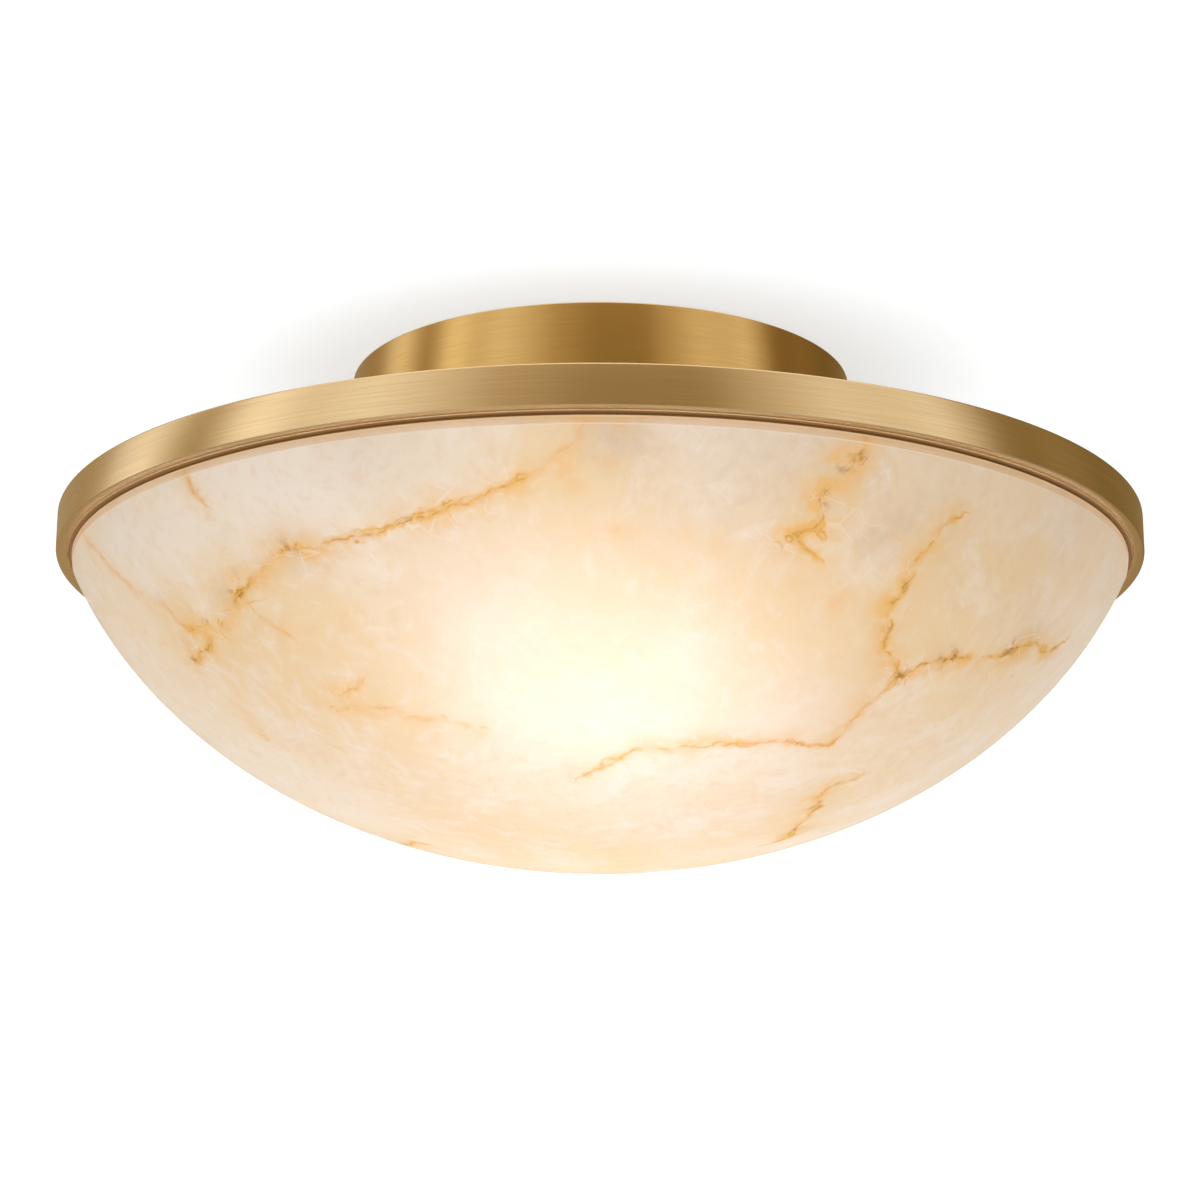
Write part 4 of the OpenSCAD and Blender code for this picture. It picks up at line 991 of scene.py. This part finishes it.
class CEILINGLIGHT_OT_stage(bpy.types.Operator):
    """Set up the camera, the ceiling, the floor and the light"""

    bl_idname = "ceilinglight.stage"
    bl_label = "Stage"

    def execute(self, context):
        deselect()
        self.camera(context)
        self.ceiling()
        self.floor()
        self.world(context)
        self.lamps()
        context.scene.view_settings.view_transform = "Standard"
        return {"FINISHED"}

    def camera(self, context):
        bpy.ops.object.camera_add(location=CAMERA_AT)
        camera = context.object
        camera.matrix_world = Matrix.Translation(CAMERA_AT) @ camera_turn()
        camera.data.sensor_width = SENSOR
        camera.data.lens = PHOTO_FOCAL / PHOTO_SIDE * SENSOR
        context.scene.camera = camera

    def disc(self, name, radius, height):
        """A level round sheet."""
        deselect()
        bpy.ops.mesh.primitive_circle_add(
            vertices=96, radius=radius, fill_type="NGON", location=(0, 0, height))
        bpy.context.object.name = name
        return bpy.context.object

    def paint(self, graph, colour, tint, lift, unseen):
        """Plain paint lifted by some light of its own, and clear where unseen is 1."""
        flat = put(graph, "BsdfDiffuse", {"Color": colour})
        light = put(graph, "Emission", {"Color": tint, "Strength": lift})
        lit = put(graph, "AddShader", {0: flat.outputs[0], 1: light.outputs[0]})
        return blend(graph, unseen, lit.outputs[0], put(graph, "BsdfTransparent").outputs[0])

    def ceiling(self):
        ceiling = self.disc("stage_ceiling", CEILING_R, CEILING_Z)
        bpy.ops.object.mode_set(mode="EDIT")
        bpy.ops.mesh.select_all(action="SELECT")
        bpy.ops.mesh.flip_normals()
        bpy.ops.object.mode_set(mode="OBJECT")
        material, graph, output = new_material("stage_ceiling")
        rays = put(graph, "LightPath").outputs
        away = length_of(graph, places(graph))
        # A painted soft shadow round the drum, on top of the real one: the ceiling's own light for the
        # camera is dimmer there
        shadow = ease(graph, away, SHADOW_FROM, SHADOW_TO, SHADOW_LIFT, CEILING_LIFT)
        # Light for what lies close under the ceiling, such as the top of the pan
        near = ease(graph, away, NEAR_FROM, NEAR_TO, NEAR_LIGHT, 0.0)
        lift = maths(graph, "ADD", times(graph, rays["Is Camera Ray"], shadow),
                     times(graph, rays["Is Diffuse Ray"], near))
        above = put(graph, "NewGeometry").outputs["Backfacing"]
        unseen = maths(graph, "MAXIMUM", above, rays["Is Glossy Ray"])
        shader = self.paint(graph, CEILING_PAINT, CEILING_TINT, lift, unseen)
        dress(ceiling, finish_material(material, graph, output, shader))
        material.cycles.emission_sampling = "NONE"

    def floor(self):
        floor = self.disc("stage_floor", FLOOR_R, FLOOR_Z)
        material, graph, output = new_material("stage_floor")
        camera = put(graph, "LightPath").outputs["Is Camera Ray"]
        # The rim fades for the camera, so that no edge of the floor shows against the white studio
        away = length_of(graph, places(graph))
        unseen = times(graph, ease(graph, away, FLOOR_FADE_FROM, FLOOR_FADE_TO), camera)
        shader = self.paint(graph, FLOOR_PAINT, WHITE, times(graph, camera, FLOOR_LIFT), unseen)
        dress(floor, finish_material(material, graph, output, shader))

    def bands(self, graph, way):
        """The bands of light by their direction round the room, the dimmer the warmer."""
        turn = maths(graph, "ARCTAN2", way[0], times(graph, way[1], -1.0))
        share = maths(graph, "ADD", times(graph, turn, 180 / math.pi, 1 / 360), 0.5)
        made = put(graph, "ValToRGB", {0: share})
        ramp = made.color_ramp
        ramp.interpolation = "EASE"
        while len(ramp.elements) > 1:
            ramp.elements.remove(ramp.elements[0])
        for i, (degrees, light) in enumerate(STUDIO_BANDS):
            stop = ramp.elements[0] if i == 0 else ramp.elements.new(degrees / 360 + 0.5)
            stop.position = degrees / 360 + 0.5
            warm = max(1 - light, 0.0)
            colour = (light, light * (1 - 0.38 * warm), light * (1 - 0.95 * warm))
            stop.color = tuple(part / BRIGHTEST_BAND for part in colour) + (1.0,)
        return made.outputs[0]

    def world(self, context):
        """White for the camera and through glass, bands of light in the brass, and soft white elsewhere."""
        world = bpy.data.worlds.new("studio")
        context.scene.world = world
        world.use_nodes = True
        graph = world.node_tree
        graph.nodes.clear()
        output = put(graph, "OutputWorld")
        way = put(graph, "SeparateXYZ", {0: put(graph, "TexCoord").outputs["Generated"]}).outputs
        # Light from high above draws the thin bright line along the band's upper edge
        high = ease(graph, way[2], 0.68, 0.88)
        room = mix(graph, high, self.bands(graph, way), OVERHEAD_LIGHT)
        studio = put(graph, "Background", {"Color": room, "Strength": BRIGHTEST_BAND})
        soft = put(graph, "Background", {"Color": WORLD_TINT, "Strength": WORLD_LIGHT})
        bright = put(graph, "Background", {"Color": WHITE, "Strength": 1.0})
        rays = put(graph, "LightPath").outputs
        seen = maths(graph, "MAXIMUM", rays["Is Camera Ray"], rays["Is Transmission Ray"])
        unlit = blend(graph, rays["Is Glossy Ray"], soft.outputs[0], studio.outputs[0])
        finish_material(world, graph, output, blend(graph, seen, unlit, bright.outputs[0]))

    def lamps(self):
        for name, place, power, size in SOFT_LAMPS:
            deselect()
            at = Vector(place)
            bpy.ops.object.light_add(type="AREA", location=at)
            lamp = bpy.context.object
            lamp.name = name
            lamp.data.energy = power
            lamp.data.size = size
            lamp.visible_glossy = False
            lamp.rotation_euler = (LAMPS_AIM - at).to_track_quat("-Z", "Y").to_euler()


class CEILINGLIGHT_PT_steps(bpy.types.Panel):
    """Lists the light's pieces in the order in which they are made"""

    bl_label = "Ceiling Light"
    bl_idname = "CEILINGLIGHT_PT_steps"
    bl_space_type = "VIEW_3D"
    bl_region_type = "UI"
    bl_category = "Ceiling Light"

    def draw(self, context):
        for step in STEPS:
            self.layout.operator(step.bl_idname)


STEPS = (
    CEILINGLIGHT_OT_stage,
    CEILINGLIGHT_OT_hardware,
    CEILINGLIGHT_OT_ring,
    CEILINGLIGHT_OT_canopy,
    CEILINGLIGHT_OT_bowl,
)
CLASSES = (CEILINGLIGHT_PG_sizes, CEILINGLIGHT_PG_finish, *STEPS, CEILINGLIGHT_PT_steps)


def register():
    for kind in CLASSES:
        bpy.utils.register_class(kind)
    bpy.types.Scene.ceilinglight_sizes = bpy.props.PointerProperty(type=CEILINGLIGHT_PG_sizes)
    bpy.types.Scene.ceilinglight_finish = bpy.props.PointerProperty(type=CEILINGLIGHT_PG_finish)


def unregister():
    del bpy.types.Scene.ceilinglight_finish
    del bpy.types.Scene.ceilinglight_sizes
    for kind in reversed(CLASSES):
        bpy.utils.unregister_class(kind)


def main():
    register()
    for step in STEPS:
        group, call = step.bl_idname.split(".")
        getattr(getattr(bpy.ops, group), call)()


if __name__ == "__main__":
    main()
